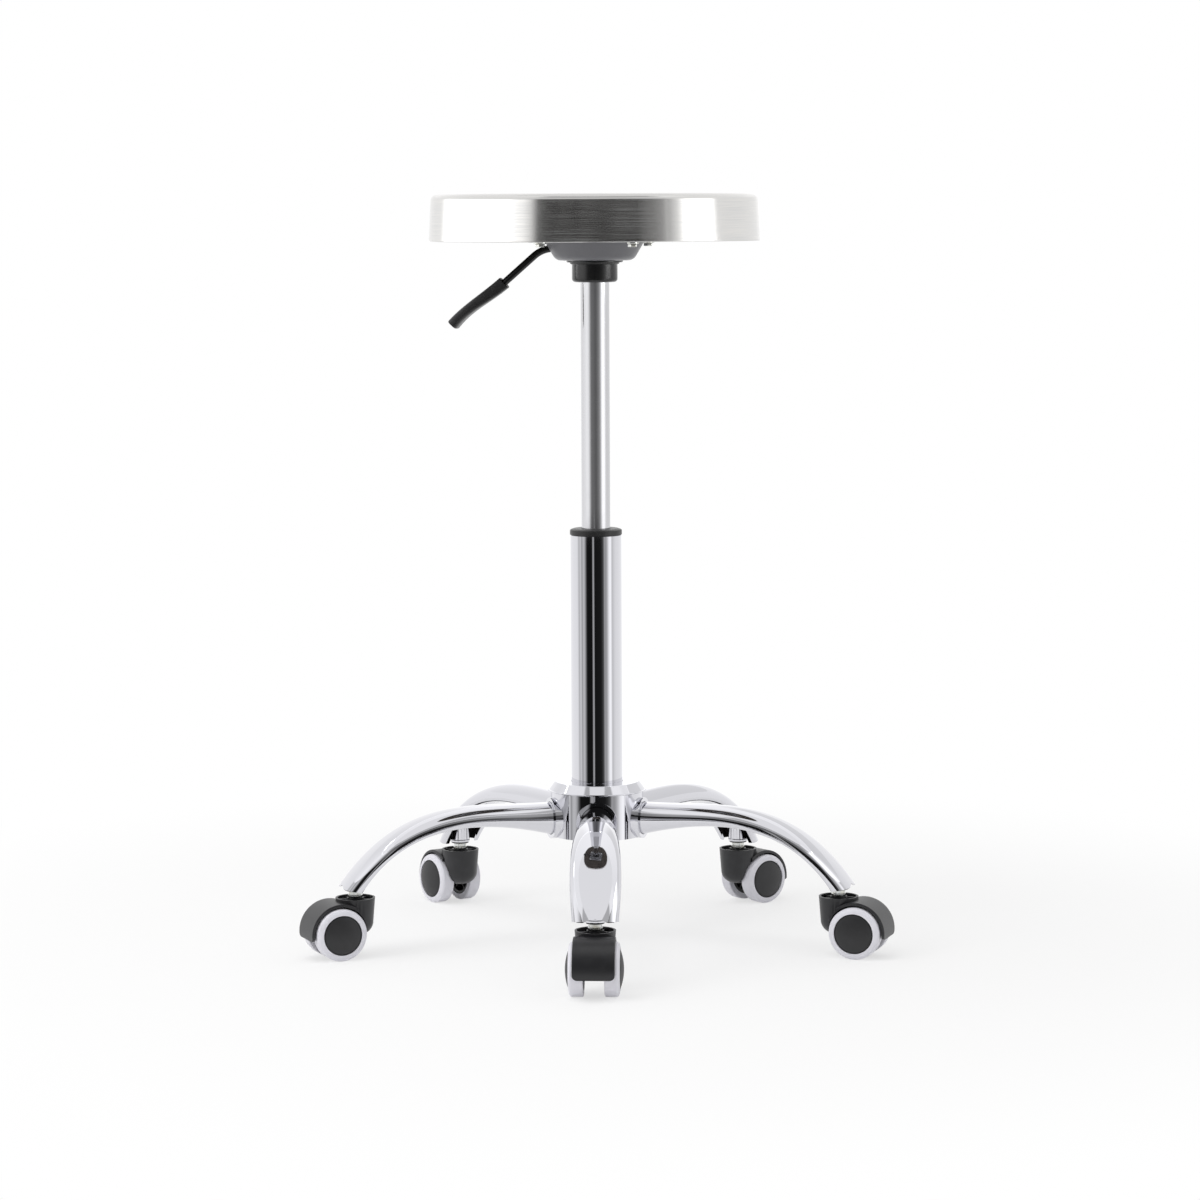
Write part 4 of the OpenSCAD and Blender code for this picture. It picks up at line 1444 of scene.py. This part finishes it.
@dataclass
class Leg:
    """A leg stamped and seamed from sheet: round at the hub, then wider and squarer, bent down
    at its tip, with an arched notch over the caster's stem.

    Attributes:
        root: Width and height at the hub.
        tip_width: Width at the tip.
        sheet: Sheet thickness.
        reach: Distance of the loft's start from the column's axis.
        root_reach: Distance of the leg's end in the hub from the column's axis.
        overhang: How far the tip reaches past the stem.
        tip_z: Height of the tip's outer edge.
        notch_width: Width of the notch.
        notch_height: Height of the notch.
        sag: How far the widest place lies below the middle at the tip, as a share of half the height.
        trim: How far the tip, and the crown and belly with it, is drawn back towards the hub.
        steps: How many rings the loft has along the leg.
        open_start: Where the opening under the tip starts, as a share of the belly line.
        open_width: Width of the opening, as a share of the tip's.
    """

    root: float = 31.6 * MM
    tip_width: float = 43.5 * MM
    sheet: float = 1.8 * MM
    reach: float = 48 * MM
    root_reach: float = 34 * MM
    overhang: float = 18.5 * MM
    tip_z: float = 67 * MM
    notch_width: float = 22 * MM
    notch_height: float = 3.2 * MM
    sag: float = 0.42
    trim: float = 4 * MM
    steps: int = 44
    open_start: float = 0.8
    open_width: float = 0.72

    def curves(self) -> tuple[Outline, Outline, Outline]:
        """The crown line, the belly line and the widths, each as a cubic curve's control points."""
        x, y, _ = JOINTS["front_caster_swivel"]["pos_m"]
        tip = math.hypot(x, y) + self.overhang - self.trim
        z, root, reach = leg_axis_height(), self.root, self.reach
        crown = [
            (reach, z + root / 2), (reach + 72 * MM, z + 14 * MM),
            (tip - 66 * MM, z + 33.5 * MM), (tip, self.tip_z),
        ]
        belly = [
            (reach, z - root / 2), (reach + 67 * MM, z + 1 * MM),
            (tip - 63 * MM, z + 10 * MM), (tip - 18 * MM, self.tip_z - 3 * MM),
        ]
        widths = [(0, root), (1 / 3, root), (2 / 3, root + 26 * MM), (1, self.tip_width)]
        return crown, belly, widths

    def section(self, t: float) -> Section:
        """The leg's ring at t, from 0 at the hub to 1 at the tip."""
        crown, belly, widths = self.curves()
        top, under = bezier(crown, t), bezier(belly, t)
        span = Vector((top[0] - under[0], 0, top[1] - under[1]))
        centre = Vector(((top[0] + under[0]) / 2, 0, (top[1] + under[1]) / 2))
        sag = self.sag * (1 - (1 - t) ** 3)
        return Section(centre, span, bezier(widths, t)[1] / 2, span.length / 2, 2 + 0.8 * t, sag)

    def build(self) -> None:
        """Builds one leg and copies it to its five places."""
        first = self.section(0)
        back = Vector((self.reach - self.root_reach, 0, 0))
        root = Section(first.centre - back, first.up, first.half_width, first.half_height)
        sections = [root, *(self.section(i / self.steps) for i in range(self.steps + 1))]
        leg = loft("leg_pressing", sections, corner_steps=12)
        # The second slot goes on the inner wall that the solidify adds: painted shade for the inside of the
        # hollow leg.
        for finish in (Finishes.chrome, Finishes.leg_inside_shade):
            leg.data.materials.append(finish.material())
        apply_modifier(
            leg, "SOLIDIFY", thickness=self.sheet, offset=-1, use_even_offset=True, material_offset=1
        )
        combine(leg, Cut.AWAY, self.opening())
        combine(leg, Cut.AWAY, self.notch())
        smooth(leg, 40)
        for place, turn in leg_turns().items():
            copy = copy_of(leg, f"{place}_leg_pressing", Matrix.Rotation(turn, 4, "Z"))
            hand_over(copy, "base", Finishes.chrome, [f"{place}_leg"])
        bpy.data.objects.remove(leg, do_unlink=True)

    def opening(self) -> Piece:
        """The cutter for the opening under the tip, which leaves room for the stem's socket."""
        crown, belly, _ = self.curves()
        depth = self.sheet + 3 * MM
        roof = []
        for i in range(5):
            x, z = bezier(belly, self.open_start + 0.05 * i)
            roof.append((x + depth * 0.7, z + depth))
        below = self.tip_z - 15 * MM
        outline = [*roof, (crown[3][0] - 10 * MM, below), (roof[0][0], below)]
        return extrude_outline("opening", outline, self.tip_width * self.open_width)

    def notch(self) -> Piece:
        """The cutter for the arched notch in the tip's outer edge."""
        width, height = self.notch_width, self.notch_height
        radius = (width * width / 4 + height * height) / (2 * height)
        tip = self.curves()[0][3][0]
        centre = Vector((tip, 0, self.tip_z - 1 * MM + height - radius))
        return rod("notch", radius, 24 * MM, centre, "X", 64)


@dataclass
class Stems:
    """The sockets pressed into the leg tips, and the casters' stems.

    Attributes:
        socket: Outer radius of a socket.
        stem: Radius of a stem.
        flange: Radius of a stem's flange.
        flange_t: Height of the flange over the housing's rim.
        short: How far a stem ends below its CAD solid's top, clear of the leg's crown.
        lid_gap: Clearance between a socket's slanted top and the leg's sheet.
        foot_round: Radius of the rounded edge at a socket's foot.
    """

    socket: float = 9.8 * MM
    stem: float = 5.5 * MM
    flange: float = 7 * MM
    flange_t: float = 3.1 * MM
    short: float = 3.5 * MM
    lid_gap: float = 1.4 * MM
    foot_round: float = 2.4 * MM

    def build(self) -> None:
        """Builds one stem and copies it, and dresses the sockets."""
        foot, top = low("caster_stems").z, high("caster_stems").z - self.short
        rim = high("front_caster_housing").z
        cup = low("stem_sockets").z
        stem = revolve(
            "stem",
            [(0, foot), (self.stem - 0.6 * MM, foot), (self.stem, foot + 0.6 * MM),
             (self.stem, rim + 0.3 * MM), (self.flange - 0.3 * MM, rim + 0.3 * MM),
             (self.flange, rim + 0.6 * MM),
             (self.flange, rim + self.flange_t - 0.5 * MM), (self.flange - 0.6 * MM, rim + self.flange_t),
             (self.stem + 0.8 * MM, rim + self.flange_t), (self.stem + 0.8 * MM, cup - 0.1 * MM),
             (self.stem, cup - 0.1 * MM), (self.stem, top - 0.6 * MM), (self.stem - 0.6 * MM, top), (0, top)],
            steps=64,
        )
        smooth(stem)
        stems, sockets = [], []
        bite = revolve(
            "socket",
            [(self.stem + 0.05 * MM, cup + 0.5 * MM), (self.stem + 0.5 * MM, cup),
             *arc((self.socket - self.foot_round, cup + self.foot_round), self.foot_round, -90, 0, 6),
             (self.socket, cup + 3.4 * MM), (self.socket - 0.35 * MM, cup + 3.9 * MM),
             (self.socket, cup + 4.4 * MM), (self.socket, cup + 50 * MM),
             (self.stem + 0.05 * MM, cup + 50 * MM)],
            closed=True, steps=64,
        )
        leg = Leg()
        crown = leg.curves()[0]
        near, far = self.crown_height(crown, -self.socket), self.crown_height(crown, self.socket)
        slant = math.atan2(near - far, 2 * self.socket)
        drop = (leg.sheet + self.lid_gap) / math.cos(slant)
        lid = block("lid", Vector((-30 * MM, -20 * MM, 0)), Vector((60 * MM, 20 * MM, 60 * MM)))
        settle(lid, Matrix.Translation((-self.socket, 0, near - drop)) @ Matrix.Rotation(slant, 4, "Y"))
        combine(bite, Cut.AWAY, lid)
        smooth(bite)
        for place, turn in leg_turns().items():
            centre = Vector(JOINTS[f"{place}_caster_swivel"]["pos_m"])
            spot = Matrix.Translation((centre.x, centre.y, 0)) @ Matrix.Rotation(turn, 4, "Z")
            stems.append(copy_of(stem, "stem_copy", spot))
            sockets.append(copy_of(bite, "socket_copy", spot))
        bpy.data.objects.remove(stem, do_unlink=True)
        bpy.data.objects.remove(bite, do_unlink=True)
        hand_over(join(stems, "caster_stem_pins"), "base", Finishes.zinc, ["caster_stems"])
        hand_over(join(sockets, "leg_tip_sockets"), "base", Finishes.chrome, ["stem_sockets"])

    @staticmethod
    def crown_height(crown: Outline, offset: float) -> float:
        """Height of a leg's crown at an offset from the stem's axis, outwards.

        Args:
            crown: The crown line's control points.
            offset: The distance past the stem.

        Returns:
            The height there.
        """
        x, y, _ = JOINTS["front_caster_swivel"]["pos_m"]
        reach = math.hypot(x, y) + offset
        before, after = 0.0, 1.0
        while after - before > 1e-4:
            middle = (before + after) / 2
            if bezier(crown, middle)[0] < reach:
                before = middle
            else:
                after = middle
        return bezier(crown, before)[1]


# ---- Casters, each built with its stem on the Z axis and its wheels trailing along +X ----


@dataclass
class Caster:
    """A twin-wheel caster: a moulded housing with a hood, an axle and two wheels.

    Attributes:
        wheel: Radius over the tread.
        tread_width: Width of the tread.
        tread_bore: Inner radius of the tread.
        gap: Width between the wheels.
        bulge: How far a wheel's cap bulges past the tread.
        axle: Radius of the axle.
        trail: Distance from the stem to the axle.
        hood: Outer radius of the hood.
        hood_wall: Wall of the hood.
        hood_width: Width of the hood.
        hood_foot: Height of the hood's rear edge.
        tower: Radius of the tower at its rim.
        tower_draft: How far the tower leans in.
        tower_foot: Height of the tower's rounded foot.
        tower_round: Radius of that foot.
        stem: Radius of the stem.
        rib: Thickness of the pocket's ribs, and half that of the web.
    """

    wheel: float = 25 * MM
    tread_width: float = 14 * MM
    tread_bore: float = 19.25 * MM
    gap: float = 19.3 * MM
    bulge: float = 3.3 * MM
    axle: float = 3 * MM
    trail: float = 21 * MM
    hood: float = 29.5 * MM
    hood_wall: float = 2.8 * MM
    hood_width: float = 39 * MM
    hood_foot: float = 20 * MM
    tower: float = 19 * MM
    tower_draft: float = 1.8 * MM
    tower_foot: float = 21 * MM
    tower_round: float = 13 * MM
    stem: float = 5.5 * MM
    rib: float = 1.6 * MM

    def axle_place(self, aside: float = 0.0) -> Vector:
        """A point on the axle's line, at a distance to the side of the caster's middle."""
        return Vector((self.trail, aside, self.wheel))

    def on_axle(self) -> Matrix:
        """Puts a solid of revolution on the axle, its Z axis along +Y."""
        return Matrix.Translation(self.axle_place()) @ Matrix.Rotation(-math.pi / 2, 4, "X")

    def place(self, name: str) -> Matrix:
        """Where a caster stands, from its swivel axis and its axle.

        Args:
            name: The caster's place, such as "front".

        Returns:
            The place of a caster drawn at the origin.
        """
        stem = Vector(JOINTS[f"{name}_caster_swivel"]["pos_m"])
        axle = Vector(JOINTS[f"{name}_left_wheel_roll"]["pos_m"])
        turn = math.atan2(axle.y - stem.y, axle.x - stem.x)
        return Matrix.Translation((stem.x, stem.y, 0)) @ Matrix.Rotation(turn, 4, "Z")

    def build(self) -> None:
        """Builds one caster and copies it to its five places."""
        housing, core, tread = self.build_housing(), self.build_core(), self.build_tread()
        for name in PLACES:
            place = self.place(name)
            shell = copy_of(housing, f"{name}_caster_shell", place)
            housing_node = f"{name}_caster_housing"
            hand_over(shell, f"{name}_caster", Finishes.housing, [housing_node])
            dress_node(f"{name}_caster_axle", Finishes.zinc)
            for side in Side:
                word = side.name.lower()
                flip = Matrix.Rotation(0 if side is Side.LEFT else math.pi, 4, "X")
                spot = place @ self.on_axle() @ flip @ Matrix.Translation((0, 0, self.gap / 2))
                body = f"{name}_{word}_wheel"
                disc = copy_of(core, f"{name}_{word}_wheel_disc", spot)
                hand_over(disc, body, Finishes.cap, [f"{name}_caster_{word}_core"])
                tyre = copy_of(tread, f"{name}_{word}_wheel_tyre", spot)
                hand_over(tyre, body, Finishes.tread, [f"{name}_caster_{word}_tread"])
        for model in (housing, core, tread):
            bpy.data.objects.remove(model, do_unlink=True)

    def build_housing(self) -> Piece:
        """The housing: tower with its ribbed pocket, hood, web between the wheels and axle boss."""
        rim = high("front_caster_housing").z
        foot, turn_r = self.tower_foot, self.tower_round
        waist = self.tower - self.tower_draft - turn_r
        tower = revolve(
            "caster_shell",
            [(0, foot), *arc((waist, foot + turn_r), turn_r, -90, 0, 12), (self.tower, rim), (0, rim)],
        )
        pocket = revolve(
            "pocket",
            [(self.stem + 2.6 * MM, foot + 13.5 * MM), (self.tower - 2 * MM, foot + 13.5 * MM),
             (self.tower - 2 * MM, rim + 5 * MM), (self.stem + 2.6 * MM, rim + 5 * MM)],
            closed=True,
        )
        drum = rod("drum", self.hood, 4 * self.tower, self.axle_place(), "Y", 128)
        combine(pocket, Cut.AWAY, drum)
        for i in range(6):
            outer = Vector((self.tower + 2 * MM, self.rib / 2, rim - 1.5 * MM))
            rib = block("rib", Vector((self.stem, -self.rib / 2, 0)), outer)
            combine(pocket, Cut.AWAY, settle(rib, Matrix.Rotation(math.radians(30 + 60 * i), 4, "Z")))
        combine(tower, Cut.AWAY, pocket)
        combine(tower, Cut.ADD, self.hood_shell(), self.web(), self.boss())
        for side in (-1, 1):
            reach = self.gap / 2 - 0.3 * MM
            middle = self.axle_place(side * (reach + self.tower))
            well = rod("well", self.hood - self.hood_wall, 2 * self.tower, middle, "Y", 128)
            combine(tower, Cut.AWAY, well)
        axle = rod("axle", self.axle + 0.05 * MM, 4 * self.tower, self.axle_place(), "Y", 48)
        stem = rod("stem", self.stem + 0.08 * MM, rim, Vector((0, 0, foot + 13.7 * MM + rim / 2)), "Z", 48)
        combine(tower, Cut.AWAY, axle, stem)
        soften(tower, 0.45 * MM, 2, 38)
        return smooth(tower, 38)

    def hood_shell(self) -> Piece:
        """The hood over the wheels: an arched shell with rounded rear corners."""
        half, corner, wall = self.hood_width / 2, 5 * MM, self.hood_wall
        outer = self.hood
        edge = 1.0 * MM
        shell = revolve(
            "hood",
            [(outer - wall, -half), (outer - edge, -half),
             *arc((outer - edge, -half + edge), edge, -60, 0, 3),
             *arc((outer - edge, half - edge), edge, 0, 60, 3), (outer - edge, half), (outer - wall, half)],
            closed=True, steps=144,
        )
        settle(shell, self.on_axle())
        foot, top = self.hood_foot, high("front_caster_housing").z
        outline = [
            *arc((-half + corner, foot + corner), corner, 180, 270, 8),
            *arc((half - corner, foot + corner), corner, 270, 360, 8), (half, top), (-half, top),
        ]
        reach = self.trail + outer
        window = extrude_outline("window", outline, reach)
        settle(window, Matrix.Rotation(math.pi / 2, 4, "Z"))
        settle(window, Matrix.Translation((3 * MM + reach / 2, 0, 0)))
        return combine(shell, Cut.KEEP, window)

    def web(self) -> Piece:
        """The web under the hood, between the wheels."""
        radius = self.hood - self.hood_wall + 1 * MM
        web = rod("web", radius, 2 * self.rib, self.axle_place(), "Y", 96)
        low_z = self.wheel + 8 * MM
        far = Vector((self.trail + self.hood, self.tower, 100 * MM))
        keep = block("keep", Vector((8 * MM, -self.tower, low_z)), far)
        return combine(web, Cut.KEEP, keep)

    def boss(self) -> Piece:
        """The boss that carries the axle."""
        return rod(
            "boss", self.axle + 4.5 * MM, self.gap - 0.6 * MM, self.axle_place(), "Y", 64
        )

    def build_core(self) -> Piece:
        """A wheel's disc, from its inner face outwards: hub, ribs, rim and domed cap in a groove."""
        bore, hub = self.axle + 0.08 * MM, 4 * MM
        rim = self.tread_bore - 0.05 * MM
        cap = rim - 1.2 * MM
        width = self.tread_width
        floor = width - 4.5 * MM
        dome = (cap * cap + self.bulge * self.bulge) / (2 * self.bulge)
        lean = math.degrees(math.asin(cap / dome))
        edge, spoke = 0.5 * MM, 0.7 * MM
        outline = [
            (0, width - 2 * MM), (bore, width - 2 * MM), (bore, 0), (bore + hub, 0), (bore + hub, floor),
            (rim - 3 * MM, floor), (rim - 3 * MM, 0.8 * MM), (rim - edge, 0.8 * MM), (rim, 0.8 * MM + edge),
            (rim, width - 1.4 * MM), (cap, width - 1.4 * MM), (cap, width - 0.3 * MM),
            *arc((0, width + self.bulge - dome), dome, 90 - lean + 1.2, 90, 12),
        ]
        core = revolve("wheel_disc", outline)
        for i in range(6):
            inner = Vector((bore + hub / 2, -spoke, 2.5 * MM))
            rib = block("rib", inner, Vector((rim - 2 * MM, spoke, floor + 0.1 * MM)))
            combine(core, Cut.ADD, settle(rib, Matrix.Rotation(math.radians(60 * i), 4, "Z")))
        return smooth(core, 30)

    def build_tread(self) -> Piece:
        """A wheel's soft tread, with a round outer shoulder and a small inner nose."""
        shoulder, nose = 3.3 * MM, 1.2 * MM
        depth = self.wheel - self.tread_bore
        shoulder_points = [
            (self.tread_bore + depth * math.cos(a), self.tread_width - shoulder + shoulder * math.sin(a))
            for a in (math.radians(9 * i) for i in range(11))
        ]
        outline = [(self.tread_bore, 0), *arc((self.wheel - nose, nose), nose, -90, 0, 5), *shoulder_points]
        return smooth(revolve("wheel_tyre", outline, closed=True, steps=128), 50)


# ---- Studio ----


@dataclass
class Camera:
    """The camera at the stool's front, a little above the seat's hem and looking slightly down.

    Attributes:
        position: Where it stands.
        pitch: How far it looks down, in degrees.
        yaw: How far it turns to its right, in degrees.
        roll: How far it leans, in degrees.
        lens: Its focal length in millimetres on a 36 mm sensor.
    """

    position: tuple[float, float, float] = (0.0319, -3.5934, 0.7085)
    pitch: float = 5.94
    yaw: float = -0.45
    roll: float = -0.25
    lens: float = 111.68

    def build(self) -> None:
        """Makes the camera and gives it to the scene."""
        data = bpy.data.cameras.new("camera")
        data.lens, data.sensor_width = self.lens, 36.0
        data.clip_end = 60.0
        camera = bpy.data.objects.new("camera", data)
        turn = (
            Matrix.Rotation(-math.radians(self.yaw), 4, "Z")
            @ Matrix.Rotation(math.pi / 2 - math.radians(self.pitch), 4, "X")
            @ Matrix.Rotation(math.radians(self.roll), 4, "Z")
        )
        camera.matrix_world = Matrix.Translation(self.position) @ turn
        bpy.context.scene.collection.objects.link(camera)
        bpy.context.scene.camera = camera


@dataclass
class Screen:
    """A screen that stands all round the stool, and that only mirrors see.

    Attributes:
        name: Its name.
        foot: Height of its lower edge.
        top: Height of its upper edge.
        light: Its brightness by azimuth in degrees, 0 towards the camera and more towards +X.
        distance: Distance from the column.
    """

    name: str
    foot: float
    top: float
    light: Sequence[tuple[float, float]]
    distance: float = 0.62

    def build(self) -> None:
        """Spins the screen's edge round the stool and gives it its light."""
        screen = revolve(self.name, [(self.distance, self.foot), (self.distance, self.top)])
        screen.data.materials.append(self.glow())
        screen.visible_camera = False
        screen.visible_diffuse = False
        screen.visible_shadow = False
        screen.visible_transmission = False

    def glow(self) -> bpy.types.Material:
        """The screen's light, which changes evenly between the given azimuths."""
        material = bpy.data.materials.new(self.name)
        material.use_nodes = True
        tree = material.node_tree
        tree.nodes.clear()
        where = add_node(tree, "ShaderNodeTexCoord")
        place = add_node(tree, "ShaderNodeSeparateXYZ", {0: where.outputs["Object"]})
        front = calculate(tree, "MULTIPLY", place.outputs["Y"], -1.0)
        turn = calculate(tree, "ARCTAN2", place.outputs["X"], front)
        share = spread(tree, turn, 0, 1, -math.pi, math.pi)
        ramp = add_node(tree, "ShaderNodeValToRGB", {"Fac": share})
        brightest = max(light for _, light in self.light)
        stops = ramp.color_ramp.elements
        for azimuth, light in self.light:
            position = (azimuth + 180) / 360
            stop = stops[0] if position == 0 else stops[-1] if position == 1 else stops.new(position)
            stop.color = (*[light / brightest] * 3, 1)
        glow = add_node(tree, "ShaderNodeEmission", {"Color": ramp.outputs["Color"], "Strength": brightest})
        add_node(tree, "ShaderNodeOutputMaterial", {"Surface": glow.outputs[0]})
        return material


@dataclass
class Lamp:
    """A soft lamp that lights the stool and its floor, and that mirrors don't see.

    Attributes:
        name: Its name.
        position: Where it hangs.
        aim: What it points at.
        size: Its width.
        power: Its power in watts.
    """

    name: str
    position: tuple[float, float, float]
    aim: tuple[float, float, float]
    size: float
    power: float

    def build(self) -> None:
        """Hangs the lamp and turns it to its aim."""
        data = bpy.data.lights.new(self.name, "AREA")
        data.shape, data.size, data.energy = "DISK", self.size, self.power
        lamp = bpy.data.objects.new(self.name, data)
        way = Vector(self.aim) - Vector(self.position)
        turn = way.to_track_quat("-Z", "Y").to_matrix().to_4x4()
        lamp.matrix_world = Matrix.Translation(self.position) @ turn
        lamp.visible_glossy = False
        bpy.context.scene.collection.objects.link(lamp)


@dataclass
class Studio:
    """A plain white room: floor, even light, soft lamps, and screens that only mirrors see.

    Attributes:
        floor_size: Width of the floor.
        ambient: Strength of the world's light on everything but camera and mirrors.
        screens: The screens, from the lowest to the highest.
        lamps: The lamps.
    """

    floor_size: float = 30.0
    ambient: float = 0.62
    screens: list[Screen] = field(default_factory=lambda: [
        Screen("screen_low", 0.0, 0.35, [
            (-180, 1.5), (-160, 1.1), (-92, 1.02), (-86, 0.85), (-80, 0.53), (-76, 0.78), (-69, 0.72),
            (-64.5, 0.37), (-60, 0.64), (-54, 0.66), (-49, 0.4), (-44, 0.12), (-40, 0.01), (-17, 0.008),
            (-14.5, 0.38), (-9.5, 0.45), (-7, 0.01), (20, 0.014), (26, 0.035), (33, 0.11), (36.5, 0.43),
            (42, 0.38), (48, 0.5), (53, 0.76), (58, 1.1), (67, 1.33), (72, 0.9), (77, 0.69), (84, 0.84),
            (95, 0.95), (160, 1.1), (180, 1.5),
        ]),
        Screen("screen_middle", 0.35, 0.65, [
            (-180, 1.5), (-160, 1.1), (-120, 0.97), (-100, 1.04), (-83, 1.1), (-73, 1.2), (-58, 1.13),
            (-50, 0.95), (-44, 0.66), (-38, 0.4), (-32, 0.21), (-15, 0.18), (0, 0.14), (8, 0.14), (16, 0.19),
            (24, 0.24), (32, 0.33), (40, 0.52), (48, 1.0), (54, 1.5), (76, 1.5), (84, 1.05), (96, 0.84),
            (160, 0.9), (180, 1.5),
        ]),
        Screen("screen_socket", 0.65, 0.668, [
            (-180, 1.6), (-118, 1.6), (-112, 6.0), (-98, 6.0), (-92, 1.6), (-46, 1.2), (-36, 0.08),
            (30, 0.08), (44, 0.3), (56, 0.8), (62, 9.0), (80, 9.0), (88, 1.2), (180, 1.2),
        ]),
        Screen("screen_high", 0.0, 2.0, [
            (-180, 1.1), (-165, 1.02), (-143, 1.08), (-132, 1.16), (-120, 2.2), (-62, 2.2), (-55, 1.6),
            (-49.5, 1.44), (-44, 1.0), (-38.5, 0.15), (-33, 0.045), (-28, 0.02), (-20, 0.036), (-12, 0.016),
            (-6, 0.042), (0, 0.026), (8, 0.008), (18, 0.044), (29.7, 0.05), (35.4, 0.15), (41.2, 0.21),
            (47.2, 0.34), (49.8, 0.46), (50.5, 0.66), (51.2, 0.5), (53.3, 0.6), (59.6, 1.02), (66, 2.2),
            (87, 2.2), (94, 1.04), (150, 1.05), (180, 1.2),
        ], 6.0),
        Screen("screen_upper", 2.0, 6.0, [
            (-180, 1.2), (-60, 1.0), (-45, 0.9), (-30, 0.8), (25, 0.8), (45, 0.9), (60, 1.0), (180, 1.2),
        ], 6.0),
        Screen("screen_top", 6.0, 11.3, [
            (-180, 1.2), (-110, 1.1), (-50, 1.1), (-44, 0.55), (52, 0.55), (58, 1.15), (80, 1.15), (90, 1.05),
            (180, 1.2),
        ], 6.0),
    ])
    lamps: list[Lamp] = field(default_factory=lambda: [
        Lamp("lamp_over", (-0.6, -0.4, 3.0), (0, 0, 0), 2.4, 26),
        Lamp("lamp_left", (-2.4, -1.6, 1.9), (0, 0, 0.3), 1.6, 22),
    ])

    def build(self) -> None:
        """Lays the floor, sets the world's light and puts up the lamps and screens."""
        self.lay_floor()
        self.set_world()
        for fitting in (*self.lamps, *self.screens):
            fitting.build()
        bpy.context.scene.view_settings.view_transform = "Standard"

    def lay_floor(self) -> None:
        """A wide pale floor just under the wheels."""
        put_down()
        bpy.ops.mesh.primitive_circle_add(
            vertices=96, radius=self.floor_size / 2, fill_type="NGON",
            location=(0, 0, CAD_BOX[0][2] - 0.05 * MM),
        )
        floor = bpy.context.object
        floor.name = "studio_floor"
        settle(floor)
        floor.data.materials.append(Finishes.paper.material())

    def set_world(self) -> None:
        """White for the camera and for mirrors, and an even half light on everything else."""
        world = bpy.data.worlds.new("studio_world")
        world.use_nodes = True
        tree = world.node_tree
        tree.nodes.clear()
        strength = add_node(
            tree, "ShaderNodeMapRange", {"Value": seen_ray(tree), "To Min": self.ambient, "To Max": 1.0}
        )
        back = add_node(
            tree, "ShaderNodeBackground", {"Color": (1, 1, 1, 1), "Strength": strength.outputs["Result"]}
        )
        add_node(tree, "ShaderNodeOutputWorld", {"Surface": back.outputs[0]})
        bpy.context.scene.world = world


def main() -> None:
    """Builds the stool from the seat down, then the studio."""
    logging.basicConfig(level=logging.INFO, format="%(name)s: %(message)s")
    Camera().build()
    assemblies = (Seat, MountingPlate, TaperSocket, Lever, GasLift, Column, Hub, Leg, Stems, Caster)
    for assembly in assemblies:
        assembly().build()
    Studio().build()
    put_down()


if __name__ == "__main__":
    main()
